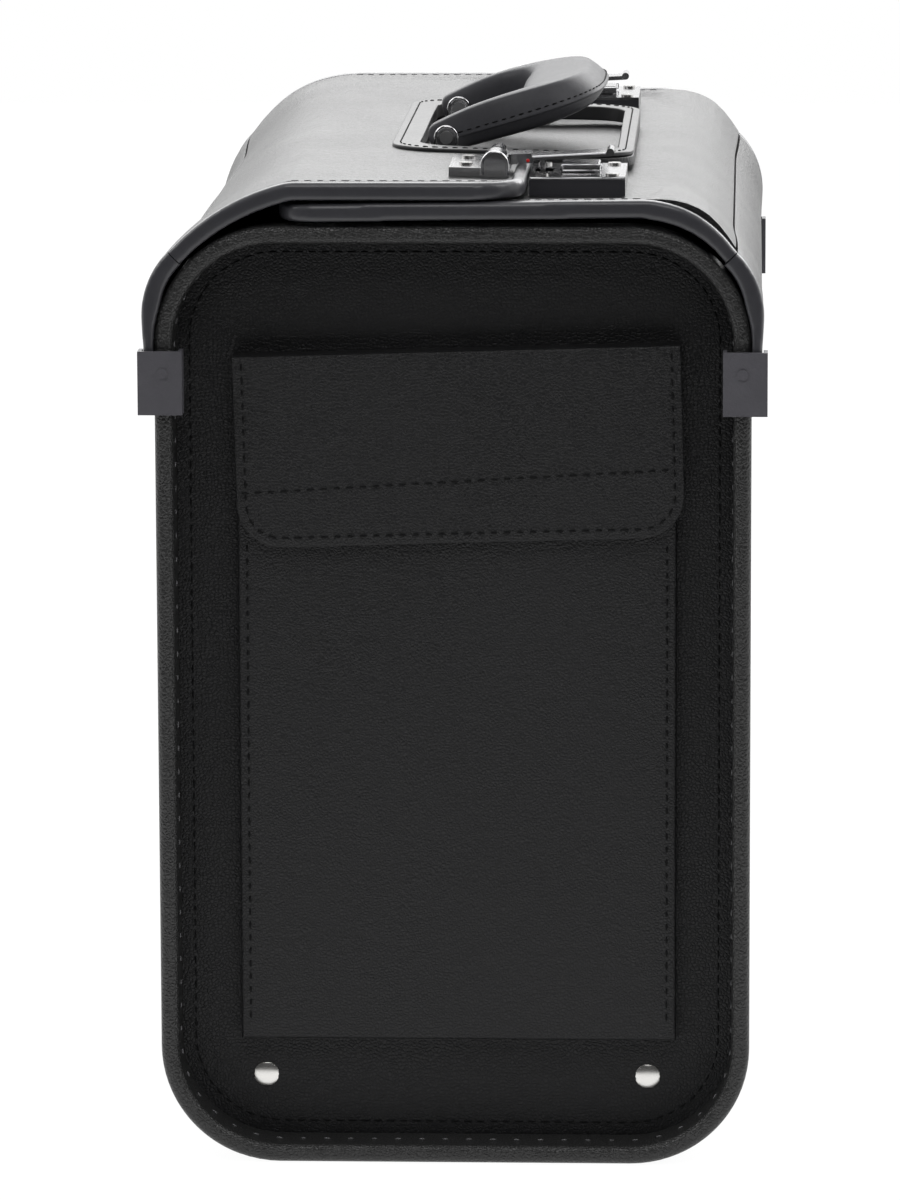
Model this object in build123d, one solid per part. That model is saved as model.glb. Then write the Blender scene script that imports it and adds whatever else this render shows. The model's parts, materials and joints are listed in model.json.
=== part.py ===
from build123d import *
import math
import os

# Case body, seen from its near end: X is the width, Y the length and Z the height
case_width = 228.0
case_height = 366.0
case_length = 450.0
rim_corner_radius = 46.0
binding_skin = 1.5
wrap_thickness = 2.5
hoop_thickness = 1.5
running_gap = 0.3
cut_margin = 1.0
flap_overhang = 1.0

# End assemblies
end_recess = 20.0
end_panel_thickness = 3.0
hoop_depth = 32.0
rim_outer_leg = 12.0
rim_nose_radius = 2.8

# Wrap, bottom and inside
wrap_top_drop = 50.0
bottom_board_thickness = 3.0
bottom_board_inset = 4.0
lining_thickness = 0.8
lining_top_drop = 6.0
divider_thickness = 3.0
divider_top_drop = 46.0
divider_shift = 18.0
angle_leg = 34.0
angle_thickness = 2.0
angle_side_inset = 26.0
angle_rivet_margin = 8.0

# Domed rivets of the end panels
rivet_side_inset = 39.5
rivet_height = 30.5
rivet_head_radius = 5.0
rivet_head_height = 2.6
rivet_shank_radius = 2.0
rivet_clench = 1.2
rivet_clench_radius = 3.6

# Shoulders: how far each point stands out from or inside the case's side, and above or below its top
fold_inset = 5.5
fold_drop = 10.5
fold_gap = 1.2
fold_axis_lift = 0.6
shoulder_bulge_out = 1.3
shoulder_bulge_drop = 20.5
shoulder_side_out = 4.4
shoulder_side_drop = 35.0
strip_bottom_out = 2.4
strip_bottom_drop = 70.0
strip_thickness = 3.5
strip_end_setback = 7.0
strip_binding_rise = 6.0

# Clips that hold the binding ends to the rims
clip_width = 17.0
clip_height = 24.5
clip_bottom_drop = 72.3
clip_depth = 9.0
clip_wall = 1.6
clip_inner_inset = 11.0
clip_rivet_radius = 1.3
clip_rivet_head = 0.5
clip_rivet_head_radius = 2.08
clip_rivet_drop = 8.5

# Flaps
panel_thickness = 4.0
binding_width = 7.0
binding_thickness = 6.4
free_edge_width = 5.0
outer_kink_inset = 51.6
outer_kink_rise = 16.4
outer_slope = 1.7
outer_mid_inset = 27.2
outer_mid_rise = 5.2
outer_edge_x = 27.0
outer_corner_radius = 20.0
tongue_edge_x = 66.5
tongue_end_width = 12.0
tongue_corner_radius = 20.0
inner_kink_inset = 39.6
inner_panel_rise = 7.0
inner_binding_rise = 9.8
inner_binding_slope = 0.74
inner_mid_inset = 21.0
inner_mid_rise = 0.8
inner_edge_inset = 48.0
inner_corner_radius = 12.0
plan_drop = 66.0
plan_rise = 54.0

# Slot frame round the handle opening
slot_left = -19.0
slot_right = 60.0
slot_end_room = 28.0
slot_corner_radius = 14.0
slot_frame_left = -30.0
slot_frame_thickness = 1.8
slot_liner = 1.2
slot_frame_corner_step = 0.1

# Handle and its brackets
handle_x = -9.0
handle_pivot_rise = 10.7
handle_lie = 16.0
leg_centre = 60.0
leg_width = 12.4
leg_thickness = 13.0
eye_radius = 7.0
handle_reach = 62.5
grip_width = 33.0
grip_top = 8.5
grip_bottom = 6.8
grip_corner_radius = 24.0
grip_chamfer = 4.0
bail_chamfer = 2.8
bail_inner_radius = 8.0
bracket_plate = 2.0
bracket_length = 34.0
bracket_rivet_inset = 3.2
bracket_rivet_head = 2.6
bracket_rivet_head_height = 1.0
bracket_width = 17.0
cheek_width = 9.8
cheek_thickness = 2.2
cheek_gap = 0.4
pin_radius = 2.0
pin_fit = 0.05
pin_head = 0.8
pin_head_radius = 2.6
bracket_hole_length = 60.0
handle_plate_thickness = 1.2

# Locks on the inner flap
lock_end_inset = 67.0
lock_left = 28.0
lock_width = 37.0
lock_length = 50.0
lock_height = 6.2
lock_wall = 1.6
lock_floor = 0.8
lock_plate = 1.2
screw_head_radius = 2.6
screw_head_height = 0.8
screw_shank_radius = 1.2
screw_inset = 5.0
screw_slot_width = 0.6
lock_screw_length = 5.0
screw_hole_length = 12.0
lock_hole_length = 8.0
button_left = 40.0
button_width = 15.0
button_length = 18.0
button_height = 2.9
button_travel = 5.5
button_edge_radius = 0.8
button_neck_left = 45.0
button_neck_width = 8.0
button_neck_length = 9.0
bolt_nose_width = 5.0
bolt_nose_thickness = 1.7
bolt_nose_left = 36.4
bolt_nose_overlap = 3.0
slide_left_inset = 2.0
slide_right_overrun = 1.0
slide_half_length = 6.0
slide_gap = 0.3
spring_thickness = 0.4
spring_half_length = 10.0
spring_height = 3.0
spring_foot = 0.5
spring_wall_gap = 0.1

# Hasps on the outer flap
hasp_x = 14.7
hasp_pin_lift = 5.0
hasp_seat_gap = 0.05
hasp_pin_radius = 1.5
hasp_pin_inset = 2.0
hasp_plate_left = -3.0
hasp_plate_right = 20.2
hasp_plate_thickness = 1.6
hasp_block_right = 9.2
hasp_block_height = 3.4
knuckle_width = 10.8
knuckle_height = 10.2
knuckle_length = 14.0
tail_knuckle_length = 13.0
tail_knuckle_radius = 3.6
knuckle_gap = 0.4
hasp_hub_radius = 3.0
hasp_arm_width = 14.0
hasp_arm_tip = 59.0
hasp_arm_thickness = 1.7
hasp_root_right = 28.5
hasp_arm_drop = 1.1
hasp_root_drop = 2.2
hasp_root_height = 3.8
hasp_tip_radius = 1.5
hasp_raise = 3.0
staple_x = 31.5
staple_thickness = 2.0
staple_width = 9.0
staple_bar = 1.5
staple_post = 1.5
staple_bottom_gap = 0.6
staple_slot_right = 37.0
staple_side_gap = 1.0

# Pocket on the near end
pocket_side_inset = 29.5
pocket_shift = 1.0
pocket_bottom = 46.5
pocket_mouth_drop = 60.0
pocket_room = 6.2
pocket_wall = 1.4
pocket_flap_side_inset = 28.0
pocket_flap_top_drop = 49.0
pocket_flap_drop = 74.0
pocket_flap_thickness = 2.2
pocket_flap_radius = 17.0
pocket_flap_gap = 0.3
pocket_flap_skew = 1.6
pocket_hem_thickness = 2.2
closure_pad_width = 50.0
closure_pad_height = 20.0
closure_pad_thickness = 1.0
closure_pad_drop = 104.0

# Places worked out from the sizes above
half_length = case_length / 2
half_width = case_width / 2
middle_z = case_height / 2
rim_thickness = binding_skin + wrap_thickness + hoop_thickness
rim_wall = rim_thickness + binding_skin
wrap_outside = case_width / 2 - binding_skin
panel_face = half_length - end_recess
hoop_end = half_length - binding_skin
flap_end = half_length + flap_overhang
wrap_top = case_height - wrap_top_drop
angle_width = case_width - 2 * angle_side_inset
rivet_spacing = case_width - 2 * rivet_side_inset
fold_x = half_width - fold_inset
fold_z = case_height - fold_drop
shoulder_bulge_x = half_width + shoulder_bulge_out
shoulder_bulge_z = case_height - shoulder_bulge_drop
shoulder_side_x = half_width + shoulder_side_out
shoulder_side_z = case_height - shoulder_side_drop
strip_bottom_x = half_width + strip_bottom_out
strip_bottom = case_height - strip_bottom_drop
clip_bottom = case_height - clip_bottom_drop
clip_inner_x = half_width - clip_inner_inset
outer_kink_x = half_width - outer_kink_inset
outer_kink_z = case_height + outer_kink_rise
outer_mid_x = half_width - outer_mid_inset
outer_mid_z = case_height + outer_mid_rise
inner_kink_x = half_width - inner_kink_inset
inner_panel_z = case_height + inner_panel_rise
inner_binding_z = case_height + inner_binding_rise
inner_mid_x = half_width - inner_mid_inset
inner_mid_z = case_height + inner_mid_rise
inner_edge_x = half_width - inner_edge_inset
slot_half_length = leg_centre + slot_end_room
lock_centre = half_length - lock_end_inset
pocket_half_width = half_width - pocket_side_inset
pocket_mouth = case_height - pocket_mouth_drop
pocket_flap_half_width = half_width - pocket_flap_side_inset
pocket_flap_top = case_height - pocket_flap_top_drop
closure_pad_z = case_height - closure_pad_drop
handle_pivot_z = inner_panel_z + handle_pivot_rise
tongue_half_length = slot_half_length + tongue_end_width


def prism_y(sketch, low, high):
    """Extrude a sketch drawn in X and Z along Y, from low to high."""
    return extrude(Plane.XZ.offset(-high) * sketch, amount=high - low)


def block(x_low, x_high, y_low, y_high, z_low, z_high):
    """A box between its lowest and highest corners."""
    centre = ((x_low + x_high) / 2, (y_low + y_high) / 2, (z_low + z_high) / 2)
    return Pos(*centre) * Box(x_high - x_low, y_high - y_low, z_high - z_low)


def rod_y(x, z, radius, low, high):
    """A round bar along Y."""
    return prism_y(Pos(x, z) * Circle(radius), low, high)


def rim_outline(inset):
    """The rounded outline of a case end, drawn in from the outside of the rim."""
    width = case_width - 2 * inset
    height = case_height - 2 * inset
    return Pos(0, middle_z) * RectangleRounded(width, height, rim_corner_radius - inset)


def rim_ring(outer_inset, inner_inset, low, high):
    """A band that follows the outline of the case end."""
    return prism_y(rim_outline(outer_inset) - rim_outline(inner_inset), low, high)


def rear_of(solid):
    """The same piece at the rear end of the case."""
    return mirror(solid, about=Plane.XZ)


def right_of(solid):
    """The same piece at the other side of the case."""
    return mirror(solid, about=Plane.YZ)


def grouped(*solids):
    """Separate solids kept together in one node."""
    return Compound(children=list(solids))


def body_wrap():
    """Sides and bottom in one board, with round bottom corners."""
    ring = rim_ring(binding_skin, binding_skin + wrap_thickness, -hoop_end, hoop_end)
    above = block(-case_width, case_width, -case_length, case_length, wrap_top, case_height + cut_margin)
    return ring - above


def end_hoop():
    """The stiff band inside the near rim, right round the end."""
    inset = binding_skin + wrap_thickness
    return rim_ring(inset, inset + hoop_thickness, -hoop_end, -hoop_end + hoop_depth)


def rivet_places():
    """The X of each domed rivet."""
    return (-rivet_spacing / 2, rivet_spacing / 2)


def rivet_holes(low, high):
    """The holes that the domed rivets of the near end pass through."""
    return [rod_y(x, rivet_height, rivet_shank_radius, low, high) for x in rivet_places()]


def end_panel():
    """The near end panel, inside its hoop."""
    board = prism_y(rim_outline(rim_thickness), -panel_face, -panel_face + end_panel_thickness)
    return board - rivet_holes(-half_length, 0)


def rim_binding():
    """The rolled binding over the edges of the wrap and hoop at the near end."""
    inner_end = -panel_face
    outer = rim_ring(0, rim_wall, -half_length, -half_length + rim_outer_leg)
    front_edges = outer.edges().group_by(Axis.Y)[0]
    outer = fillet(front_edges, rim_nose_radius)
    inner = rim_ring(rim_thickness, rim_wall, -half_length + rim_nose_radius + cut_margin, inner_end)
    return outer + inner - body_wrap() - end_hoop()


def bottom_board():
    """A stiff board on the flat of the wrap."""
    half_width = case_width / 2 - rim_corner_radius - bottom_board_inset
    floor = binding_skin + wrap_thickness
    end = hoop_end - hoop_depth - running_gap
    return block(-half_width, half_width, -end, end, floor, floor + bottom_board_thickness)


def bottom_angle():
    """The near angle between the bottom board and the end panel."""
    floor = binding_skin + wrap_thickness + bottom_board_thickness
    wall = -panel_face + end_panel_thickness
    half = angle_width / 2
    flat_half = case_width / 2 - rim_corner_radius - bottom_board_inset
    upright = block(-half, half, wall, wall + angle_thickness, rivet_height - angle_rivet_margin,
                    floor + angle_leg)
    neck = block(-flat_half, flat_half, wall, wall + angle_thickness, floor, rivet_height)
    foot = block(-flat_half, flat_half, wall, wall + angle_leg, floor, floor + angle_thickness)
    return upright + neck + foot - rivet_holes(-half_length, 0)


def panel_rivets():
    """The two domed rivets of the near end, clenched over the angle."""
    rivets = []
    back = -panel_face + end_panel_thickness + angle_thickness
    reach = rivet_head_radius + cut_margin
    for x in rivet_places():
        sphere_radius = (rivet_head_radius**2 + rivet_head_height**2) / (2 * rivet_head_height)
        centre_y = -panel_face - rivet_head_height + sphere_radius
        ball = Pos(x, centre_y, rivet_height) * Sphere(sphere_radius)
        cap = ball & block(x - reach, x + reach, -half_length, -panel_face, rivet_height - reach,
                           rivet_height + reach)
        shank = rod_y(x, rivet_height, rivet_shank_radius, -panel_face, back + rivet_clench)
        clench = rod_y(x, rivet_height, rivet_clench_radius, back, back + rivet_clench)
        rivets.append(cap + shank + clench)
    return grouped(*rivets)


def lining():
    """Fabric on the inside of the wrap, between the hoops."""
    inset = binding_skin + wrap_thickness
    end = hoop_end - hoop_depth - running_gap
    ring = rim_ring(inset, inset + lining_thickness, -end, end)
    tray = ring - block(-case_width, case_width, -case_length, case_length,
                        wrap_top - lining_top_drop, case_height + cut_margin)
    flat_half = case_width / 2 - rim_corner_radius
    return tray - block(-flat_half, flat_half, -end, end, 0, inset + bottom_board_thickness)


def divider():
    """A partition for files, lengthwise, that stands on the bottom board."""
    floor = binding_skin + wrap_thickness + bottom_board_thickness
    end = panel_face - end_panel_thickness - angle_leg - running_gap
    side = divider_thickness / 2
    return block(divider_shift - side, divider_shift + side, -end, end,
                 floor, wrap_top - divider_top_drop)


def inward(tangent):
    """The direction into a case wall, for a curve that runs up and over from the left."""
    return Vector(tangent.Y, -tangent.X)


def corner_inside(point, before, after, depth):
    """A corner of a curve, moved in by the wall's depth."""
    middle = (inward(before) + inward(after)).normalized()
    return point + middle * (depth / middle.dot(inward(before)))


def band(edges, depth):
    """A wall of even thickness under a chain of edges, with square ends."""
    points = [edges[0] @ 0 + inward(edges[0] % 0) * depth]
    for left, right in zip(edges, edges[1:]):
        points.append(corner_inside(left @ 1, left % 1, right % 0, depth))
    points.append(edges[-1] @ 1 + inward(edges[-1] % 1) * depth)
    inner = []
    for edge, start, end in zip(edges, points, points[1:]):
        if edge.geom_type == GeomType.LINE:
            inner.append(Line(start, end))
        else:
            middle = edge @ 0.5 + inward(edge % 0.5) * depth
            inner.append(ThreePointArc(start, middle, end))
    ends = [Line(edges[-1] @ 1, points[-1]), Line(points[0], edges[0] @ 0)]
    return make_face(Wire(list(edges) + inner + ends))


def side_curve():
    """The outside of the left strip, from its lower edge up to the fold."""
    side = (-shoulder_side_x, shoulder_side_z)
    bulge = (-shoulder_bulge_x, shoulder_bulge_z)
    lower = Line((-strip_bottom_x, strip_bottom), side)
    return [lower, ThreePointArc(side, bulge, (-fold_x, fold_z))]


def flap_start():
    """Where a flap's outside starts, past the fold."""
    step = fold_gap / math.sqrt(2)
    return (-fold_x + step, fold_z + step)


def outer_curve(slope, end_x):
    """The outside of the outer flap, from the fold over its kink to an end."""
    kink = (-outer_kink_x, outer_kink_z)
    drop = (end_x + outer_kink_x) * math.tan(math.radians(slope))
    arc = ThreePointArc(flap_start(), (-outer_mid_x, outer_mid_z), kink)
    return [arc, Line(kink, (end_x, outer_kink_z - drop))]


def inner_curve(kink_z, slope, end_x):
    """The outside of the inner flap, drawn on the left and mirrored later."""
    kink = (-inner_kink_x, kink_z)
    drop = (end_x + inner_kink_x) * math.tan(math.radians(slope))
    arc = ThreePointArc(flap_start(), (-inner_mid_x, inner_mid_z), kink)
    return [arc, Line(kink, (end_x, kink_z - drop))]


def hinge_strip():
    """The left wall from beside the wrap up to the fold, clear of the rims."""
    end = half_length - strip_end_setback
    strip = prism_y(band(side_curve(), strip_thickness), -end, end)
    side_fill = block(-strip_bottom_x, -wrap_outside, -end, end, strip_bottom, wrap_top)
    rims = rim_ring(-running_gap, rim_wall + cut_margin, -half_length, half_length)
    ends = block(-case_width, 0, -half_length, -half_length + rim_outer_leg + running_gap, 0, case_height)
    rim_room = (rims & ends) + rear_of(rims & ends)
    wrap_room = rim_ring(binding_skin, binding_skin + wrap_thickness, -half_length, half_length)
    below_top = block(-case_width, 0, -half_length, half_length, 0, wrap_top)
    return largest(strip + side_fill - rim_room - (wrap_room & below_top))


def largest(shape):
    """The largest solid of a shape."""
    return shape.solids().sort_by(SortBy.VOLUME)[-1]


def strip_binding():
    """The near end's tube on the left strip, from inside the clip up to the fold."""
    end = -half_length + strip_end_setback
    whole = prism_y(band(side_curve(), binding_thickness), -flap_end, end)
    start = clip_bottom + strip_binding_rise
    cut = block(-case_width, 0, -flap_end - cut_margin, 0, 0, start)
    rim_room = rim_ring(-running_gap, rim_wall, -half_length - cut_margin, -half_length + rim_outer_leg)
    return largest(whole - cut - rim_room)


def clip():
    """The near left clip: a cap over the rim and the end of the binding."""
    outside_x = -clip_inner_x - clip_width
    top = clip_bottom + clip_height
    face = -flap_end - clip_wall - running_gap
    plate = block(outside_x, -clip_inner_x, face, face + clip_wall, clip_bottom, top)
    cheek = block(outside_x, outside_x + clip_wall, face, face + clip_depth, clip_bottom, top)
    lip = block(-clip_inner_x - clip_wall, -clip_inner_x, face, face + clip_depth, clip_bottom, top)
    return plate + cheek + lip - clip_rivet()


def clip_rivet():
    """The small rivet that holds the near left clip to the rim."""
    x = -case_width / 2 + rim_wall / 2
    z = clip_bottom + clip_height - clip_rivet_drop
    face = -flap_end - clip_wall - running_gap
    head = rod_y(x, z, clip_rivet_head_radius, face - clip_rivet_head, face)
    shank = rod_y(x, z, clip_rivet_radius, face, -half_length - running_gap)
    return head + shank


def all_clips():
    """Near and rear clips of both sides."""
    left = clip()
    return grouped(left, right_of(left))


def all_clip_rivets():
    """The four clip rivets."""
    left = clip_rivet()
    right = right_of(left)
    return grouped(left, right, rear_of(left), rear_of(right))


def outer_outline():
    """The outer flap from above: two short arms and the tongue between them."""
    left = -case_width
    base = Pos((left + outer_edge_x) / 2, 0) * Rectangle(outer_edge_x - left, 2 * flap_end)
    tongue = Pos((left + tongue_edge_x) / 2, 0) * Rectangle(tongue_edge_x - left, 2 * tongue_half_length)
    corners = base.vertices().group_by(Axis.X)[-1]
    tongue_corners = tongue.vertices().group_by(Axis.X)[-1]
    return fillet(corners, outer_corner_radius) + fillet(tongue_corners, tongue_corner_radius)


def inner_outline():
    """The inner flap from above, drawn on the left and mirrored later."""
    left = -case_width
    base = Pos((left + inner_edge_x) / 2, 0) * Rectangle(inner_edge_x - left, 2 * flap_end)
    return fillet(base.vertices().group_by(Axis.X)[-1], inner_corner_radius)


def inset_outline(outline, ends, edge):
    """An outline drawn in by the binding at its ends and along its free edge."""
    box = outline.bounding_box()
    inner = offset(outline, amount=-edge)
    limit = Rectangle(4 * case_width, 2 * (box.max.Y - ends))
    return inner & limit


def upright(sketch):
    """A sketch drawn from above, as a tall column that other shapes are cut with."""
    low = case_height - plan_drop
    return extrude(Pos(0, 0, low) * sketch, amount=plan_drop + plan_rise)


def slot_outline(grow=0.0):
    """The handle opening from above."""
    width = slot_right - slot_left + 2 * grow
    length = 2 * (slot_half_length + grow)
    place = Pos((slot_left + slot_right) / 2, 0)
    return place * RectangleRounded(width, length, slot_corner_radius + grow)


def slot_frame_outline():
    """The outside of the stitched frame from above, flush with the tongue's edge."""
    width = tongue_edge_x - slot_frame_left
    place = Pos((slot_frame_left + tongue_edge_x) / 2, 0)
    radius = tongue_corner_radius - slot_frame_corner_step
    return place * RectangleRounded(width, 2 * tongue_half_length, radius)


def outer_wall(depth, lift=0.0, slope=outer_slope):
    """The outer flap's wall along the whole case, before its outline is cut."""
    wall = prism_y(band(outer_curve(slope, tongue_edge_x + cut_margin), depth), -flap_end, flap_end)
    return Pos(0, 0, lift) * wall


def outer_flap_panel():
    """The board of the outer flap inside its binding, with the handle opening."""
    plan = inset_outline(outer_outline(), binding_width, free_edge_width)
    plan = plan + (slot_frame_outline() & outer_outline())
    plan = plan - slot_outline(slot_liner)
    return largest(outer_wall(panel_thickness) & upright(plan))


def outer_flap_binding():
    """The tube along the outer flap's ends and free edge, up to the tongue."""
    plan = outer_outline() - inset_outline(outer_outline(), binding_width, free_edge_width)
    plan = plan - slot_frame_outline()
    tube = outer_wall(binding_thickness, 0, 0.0) & upright(plan)
    return grouped(*tube.solids().sort_by(Axis.Y))


def slot_frame():
    """The stitched frame on the tongue, with a liner through the opening."""
    ring = slot_frame_outline() - slot_outline()
    top = outer_wall(slot_frame_thickness, slot_frame_thickness) & upright(ring)
    liner = slot_outline(slot_liner) - slot_outline()
    collar = outer_wall(panel_thickness) & upright(liner)
    return largest(top + collar)


def inner_flap_panel():
    """The board of the inner flap inside its binding."""
    plan = inset_outline(inner_outline(), binding_width, free_edge_width)
    plate = prism_y(band(inner_curve(inner_panel_z, 0, inner_edge_x), panel_thickness), -flap_end, flap_end)
    panel = plate & upright(plan)
    return right_of(largest(panel)) - handle_rivet_holes()


def inner_flap_binding():
    """The tube along the inner flap's ends and free edge."""
    plan = inner_outline() - inset_outline(inner_outline(), binding_width, free_edge_width)
    edges = inner_curve(inner_binding_z, inner_binding_slope, inner_edge_x)
    tube = prism_y(band(edges, binding_thickness), -flap_end, flap_end) & upright(plan)
    return right_of(largest(tube))


def handle_rivet_places():
    """Where the bracket rivets go through the inner flap."""
    side = bracket_length / 2 - bracket_rivet_inset
    return [(handle_x, s * leg_centre + t * side) for s in (-1, 1) for t in (-1, 1)]


def handle_rivet_holes():
    """Holes for the bracket rivets."""
    return [Pos(x, y, inner_panel_z) * Cylinder(rivet_shank_radius, bracket_hole_length)
            for x, y in handle_rivet_places()]


def handle_grip():
    """The padded bail, lying to the right at rest."""
    outer_half = leg_centre + leg_width / 2
    inner_half = leg_centre - leg_width / 2
    inner_reach = handle_reach - grip_width
    outer = Pos(handle_reach / 2, 0) * Rectangle(handle_reach, 2 * outer_half)
    outer = fillet(outer.vertices().group_by(Axis.X)[-1], grip_corner_radius)
    gap = Pos(inner_reach / 2 - eye_radius, 0) * Rectangle(inner_reach + 2 * eye_radius, 2 * inner_half)
    gap = fillet(gap.vertices().group_by(Axis.X)[-1], bail_inner_radius)
    bail = extrude(Pos(0, 0, -leg_thickness / 2) * (outer - gap), amount=leg_thickness)
    bail = chamfer(bail.edges().group_by(Axis.Z)[-1] + bail.edges().group_by(Axis.Z)[0], bail_chamfer)
    cut = grip_chamfer
    profile = Polyline(
        (inner_reach, -grip_bottom + cut), (inner_reach + cut, -grip_bottom),
        (handle_reach - cut, -grip_bottom), (handle_reach, -grip_bottom + cut),
        (handle_reach, grip_top - cut), (handle_reach - cut, grip_top),
        (inner_reach + cut, grip_top), (inner_reach, grip_top - cut),
        close=True,
    )
    grip_half = outer_half - grip_corner_radius
    grip = prism_y(make_face(profile), -grip_half, grip_half)
    eyes = [rod_y(0, 0, eye_radius, side - leg_width / 2, side + leg_width / 2)
            for side in (-leg_centre, leg_centre)]
    holes = rod_y(0, 0, pin_radius + pin_fit, -outer_half - cut_margin, outer_half + cut_margin)
    solid = bail + grip + eyes - holes
    return Pos(handle_x, 0, handle_pivot_z) * Rot(0, -handle_lie, 0) * solid


def handle_bracket():
    """The near clevis: a plate with two round-topped cheeks."""
    half = bracket_width / 2
    plate = block(handle_x - half, handle_x + half, -leg_centre - bracket_length / 2,
                  -leg_centre + bracket_length / 2, inner_panel_z, inner_panel_z + bracket_plate)
    solid = plate
    for side in (-1, 1):
        near = -leg_centre + side * (leg_width / 2 + cheek_gap)
        low, high = sorted((near, near + side * cheek_thickness))
        arch = Pos(handle_x, handle_pivot_z) * Circle(cheek_width / 2)
        height = handle_pivot_z - inner_panel_z
        post = Pos(handle_x, handle_pivot_z - height / 2) * Rectangle(cheek_width, height)
        solid = solid + prism_y(arch + post, low, high)
    hole = rod_y(handle_x, handle_pivot_z, pin_radius, -case_length, 0)
    return solid - hole - handle_rivet_holes()


def handle_pins():
    """The two pivot pins, headed at both ends."""
    reach = leg_width / 2 + cheek_gap + cheek_thickness
    pins = []
    for side in (-leg_centre, leg_centre):
        pin = rod_y(handle_x, handle_pivot_z, pin_radius, side - reach, side + reach)
        heads = [rod_y(handle_x, handle_pivot_z, pin_head_radius, low, low + pin_head)
                 for low in (side - reach - pin_head, side + reach)]
        pins.append(pin + heads)
    return grouped(*pins)


def handle_plate():
    """The steel strip under the inner flap that carries both brackets."""
    half = bracket_width / 2
    end = leg_centre + bracket_length / 2
    low = inner_panel_z - panel_thickness - handle_plate_thickness
    plate = block(handle_x - half, handle_x + half, -end, end, low, low + handle_plate_thickness)
    return plate - handle_rivet_holes()


def bracket_rivets():
    """The rivets through each bracket, the inner flap and the plate below it."""
    top = inner_panel_z + bracket_plate
    low = inner_panel_z - panel_thickness - handle_plate_thickness
    rivets = []
    for x, y in handle_rivet_places():
        shank = Pos(x, y, (top + low) / 2) * Cylinder(rivet_shank_radius, top - low)
        head_z = top + bracket_rivet_head_height / 2
        head = Pos(x, y, head_z) * Cylinder(bracket_rivet_head, bracket_rivet_head_height)
        rivets.append(shank + head)
    return grouped(*rivets)


def lock_screw_places():
    """The corner screws of the near lock."""
    xs = (lock_left + screw_inset, lock_left + lock_width - screw_inset)
    ys = (-lock_centre - lock_length / 2 + screw_inset, -lock_centre + lock_length / 2 - screw_inset)
    return [(x, y) for x in xs for y in ys]


def lock_screw_holes():
    """Holes down through the lock's corners."""
    z = inner_panel_z + lock_height
    return [Pos(x, y, z) * Cylinder(screw_shank_radius, lock_hole_length) for x, y in lock_screw_places()]


def lock_case():
    """The near lock's open-topped case, with a pillar at each corner."""
    right = lock_left + lock_width
    low, high = -lock_centre - lock_length / 2, -lock_centre + lock_length / 2
    top = inner_panel_z + lock_height
    shell = block(lock_left, right, low, high, inner_panel_z, top)
    room = block(lock_left + lock_wall, right - lock_wall, low + lock_wall, high - lock_wall,
                 inner_panel_z + lock_floor, top)
    side = 2 * screw_head_radius
    for x, y in lock_screw_places():
        room = room - Pos(x, y, inner_panel_z + lock_height / 2) * Box(side, side, lock_height)
    return shell - room - lock_screw_holes()


def lock_plate_cover():
    """The near lock's chrome plate, open for the staple and for the button's neck."""
    right = lock_left + lock_width
    low, high = -lock_centre - lock_length / 2, -lock_centre + lock_length / 2
    base = inner_panel_z + lock_height
    plate = block(lock_left, right, low, high, base, base + lock_plate)
    staple_half = staple_width / 2 + staple_side_gap
    staple_room = block(lock_left + lock_wall + slide_gap, staple_slot_right, -lock_centre - staple_half,
                        -lock_centre + staple_half, base - cut_margin, base + lock_plate + cut_margin)
    neck_half = button_neck_length / 2 + slide_gap
    neck_room = block(button_neck_left - button_travel - slide_gap,
                      button_neck_left + button_neck_width + slide_gap, -lock_centre - neck_half,
                      -lock_centre + neck_half, base - cut_margin, base + lock_plate + cut_margin)
    return plate - staple_room - neck_room - lock_screw_holes()


def pan_screw(x, y, z, length):
    """A slotted screw whose head sits on z."""
    head = Pos(x, y, z + screw_head_height / 2) * Cylinder(screw_head_radius, screw_head_height)
    shank = Pos(x, y, z - length / 2) * Cylinder(screw_shank_radius, length)
    slot = Pos(x, y, z + screw_head_height) * Box(
        2 * screw_head_radius + cut_margin, screw_slot_width, screw_head_height)
    return head + shank - slot


def lock_screws():
    """All eight lock screws."""
    z = inner_panel_z + lock_height + lock_plate
    near = [pan_screw(x, y, z, lock_screw_length) for x, y in lock_screw_places()]
    return grouped(*near, *[rear_of(screw) for screw in near])


def lock_slider():
    """The near lock's button with its neck, its body in the case and the bolt nose."""
    plate_top = inner_panel_z + lock_height + lock_plate
    ceiling = inner_panel_z + lock_height - slide_gap
    floor = inner_panel_z + lock_floor + slide_gap
    y = -lock_centre
    button = block(button_left, button_left + button_width, y - button_length / 2, y + button_length / 2,
                   plate_top + slide_gap, plate_top + slide_gap + button_height)
    button = fillet(button.edges().group_by(Axis.Z)[-1], button_edge_radius)
    neck = block(button_neck_left, button_neck_left + button_neck_width, y - button_neck_length / 2,
                 y + button_neck_length / 2, ceiling - cut_margin, plate_top + slide_gap + cut_margin)
    slide = block(button_left + slide_left_inset, button_left + button_width + slide_right_overrun,
                  y - slide_half_length, y + slide_half_length, floor, ceiling)
    nose = block(bolt_nose_left, button_left + bolt_nose_overlap, y - bolt_nose_width / 2,
                 y + bolt_nose_width / 2, ceiling - bolt_nose_thickness, ceiling)
    return button + neck + slide + nose


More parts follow.
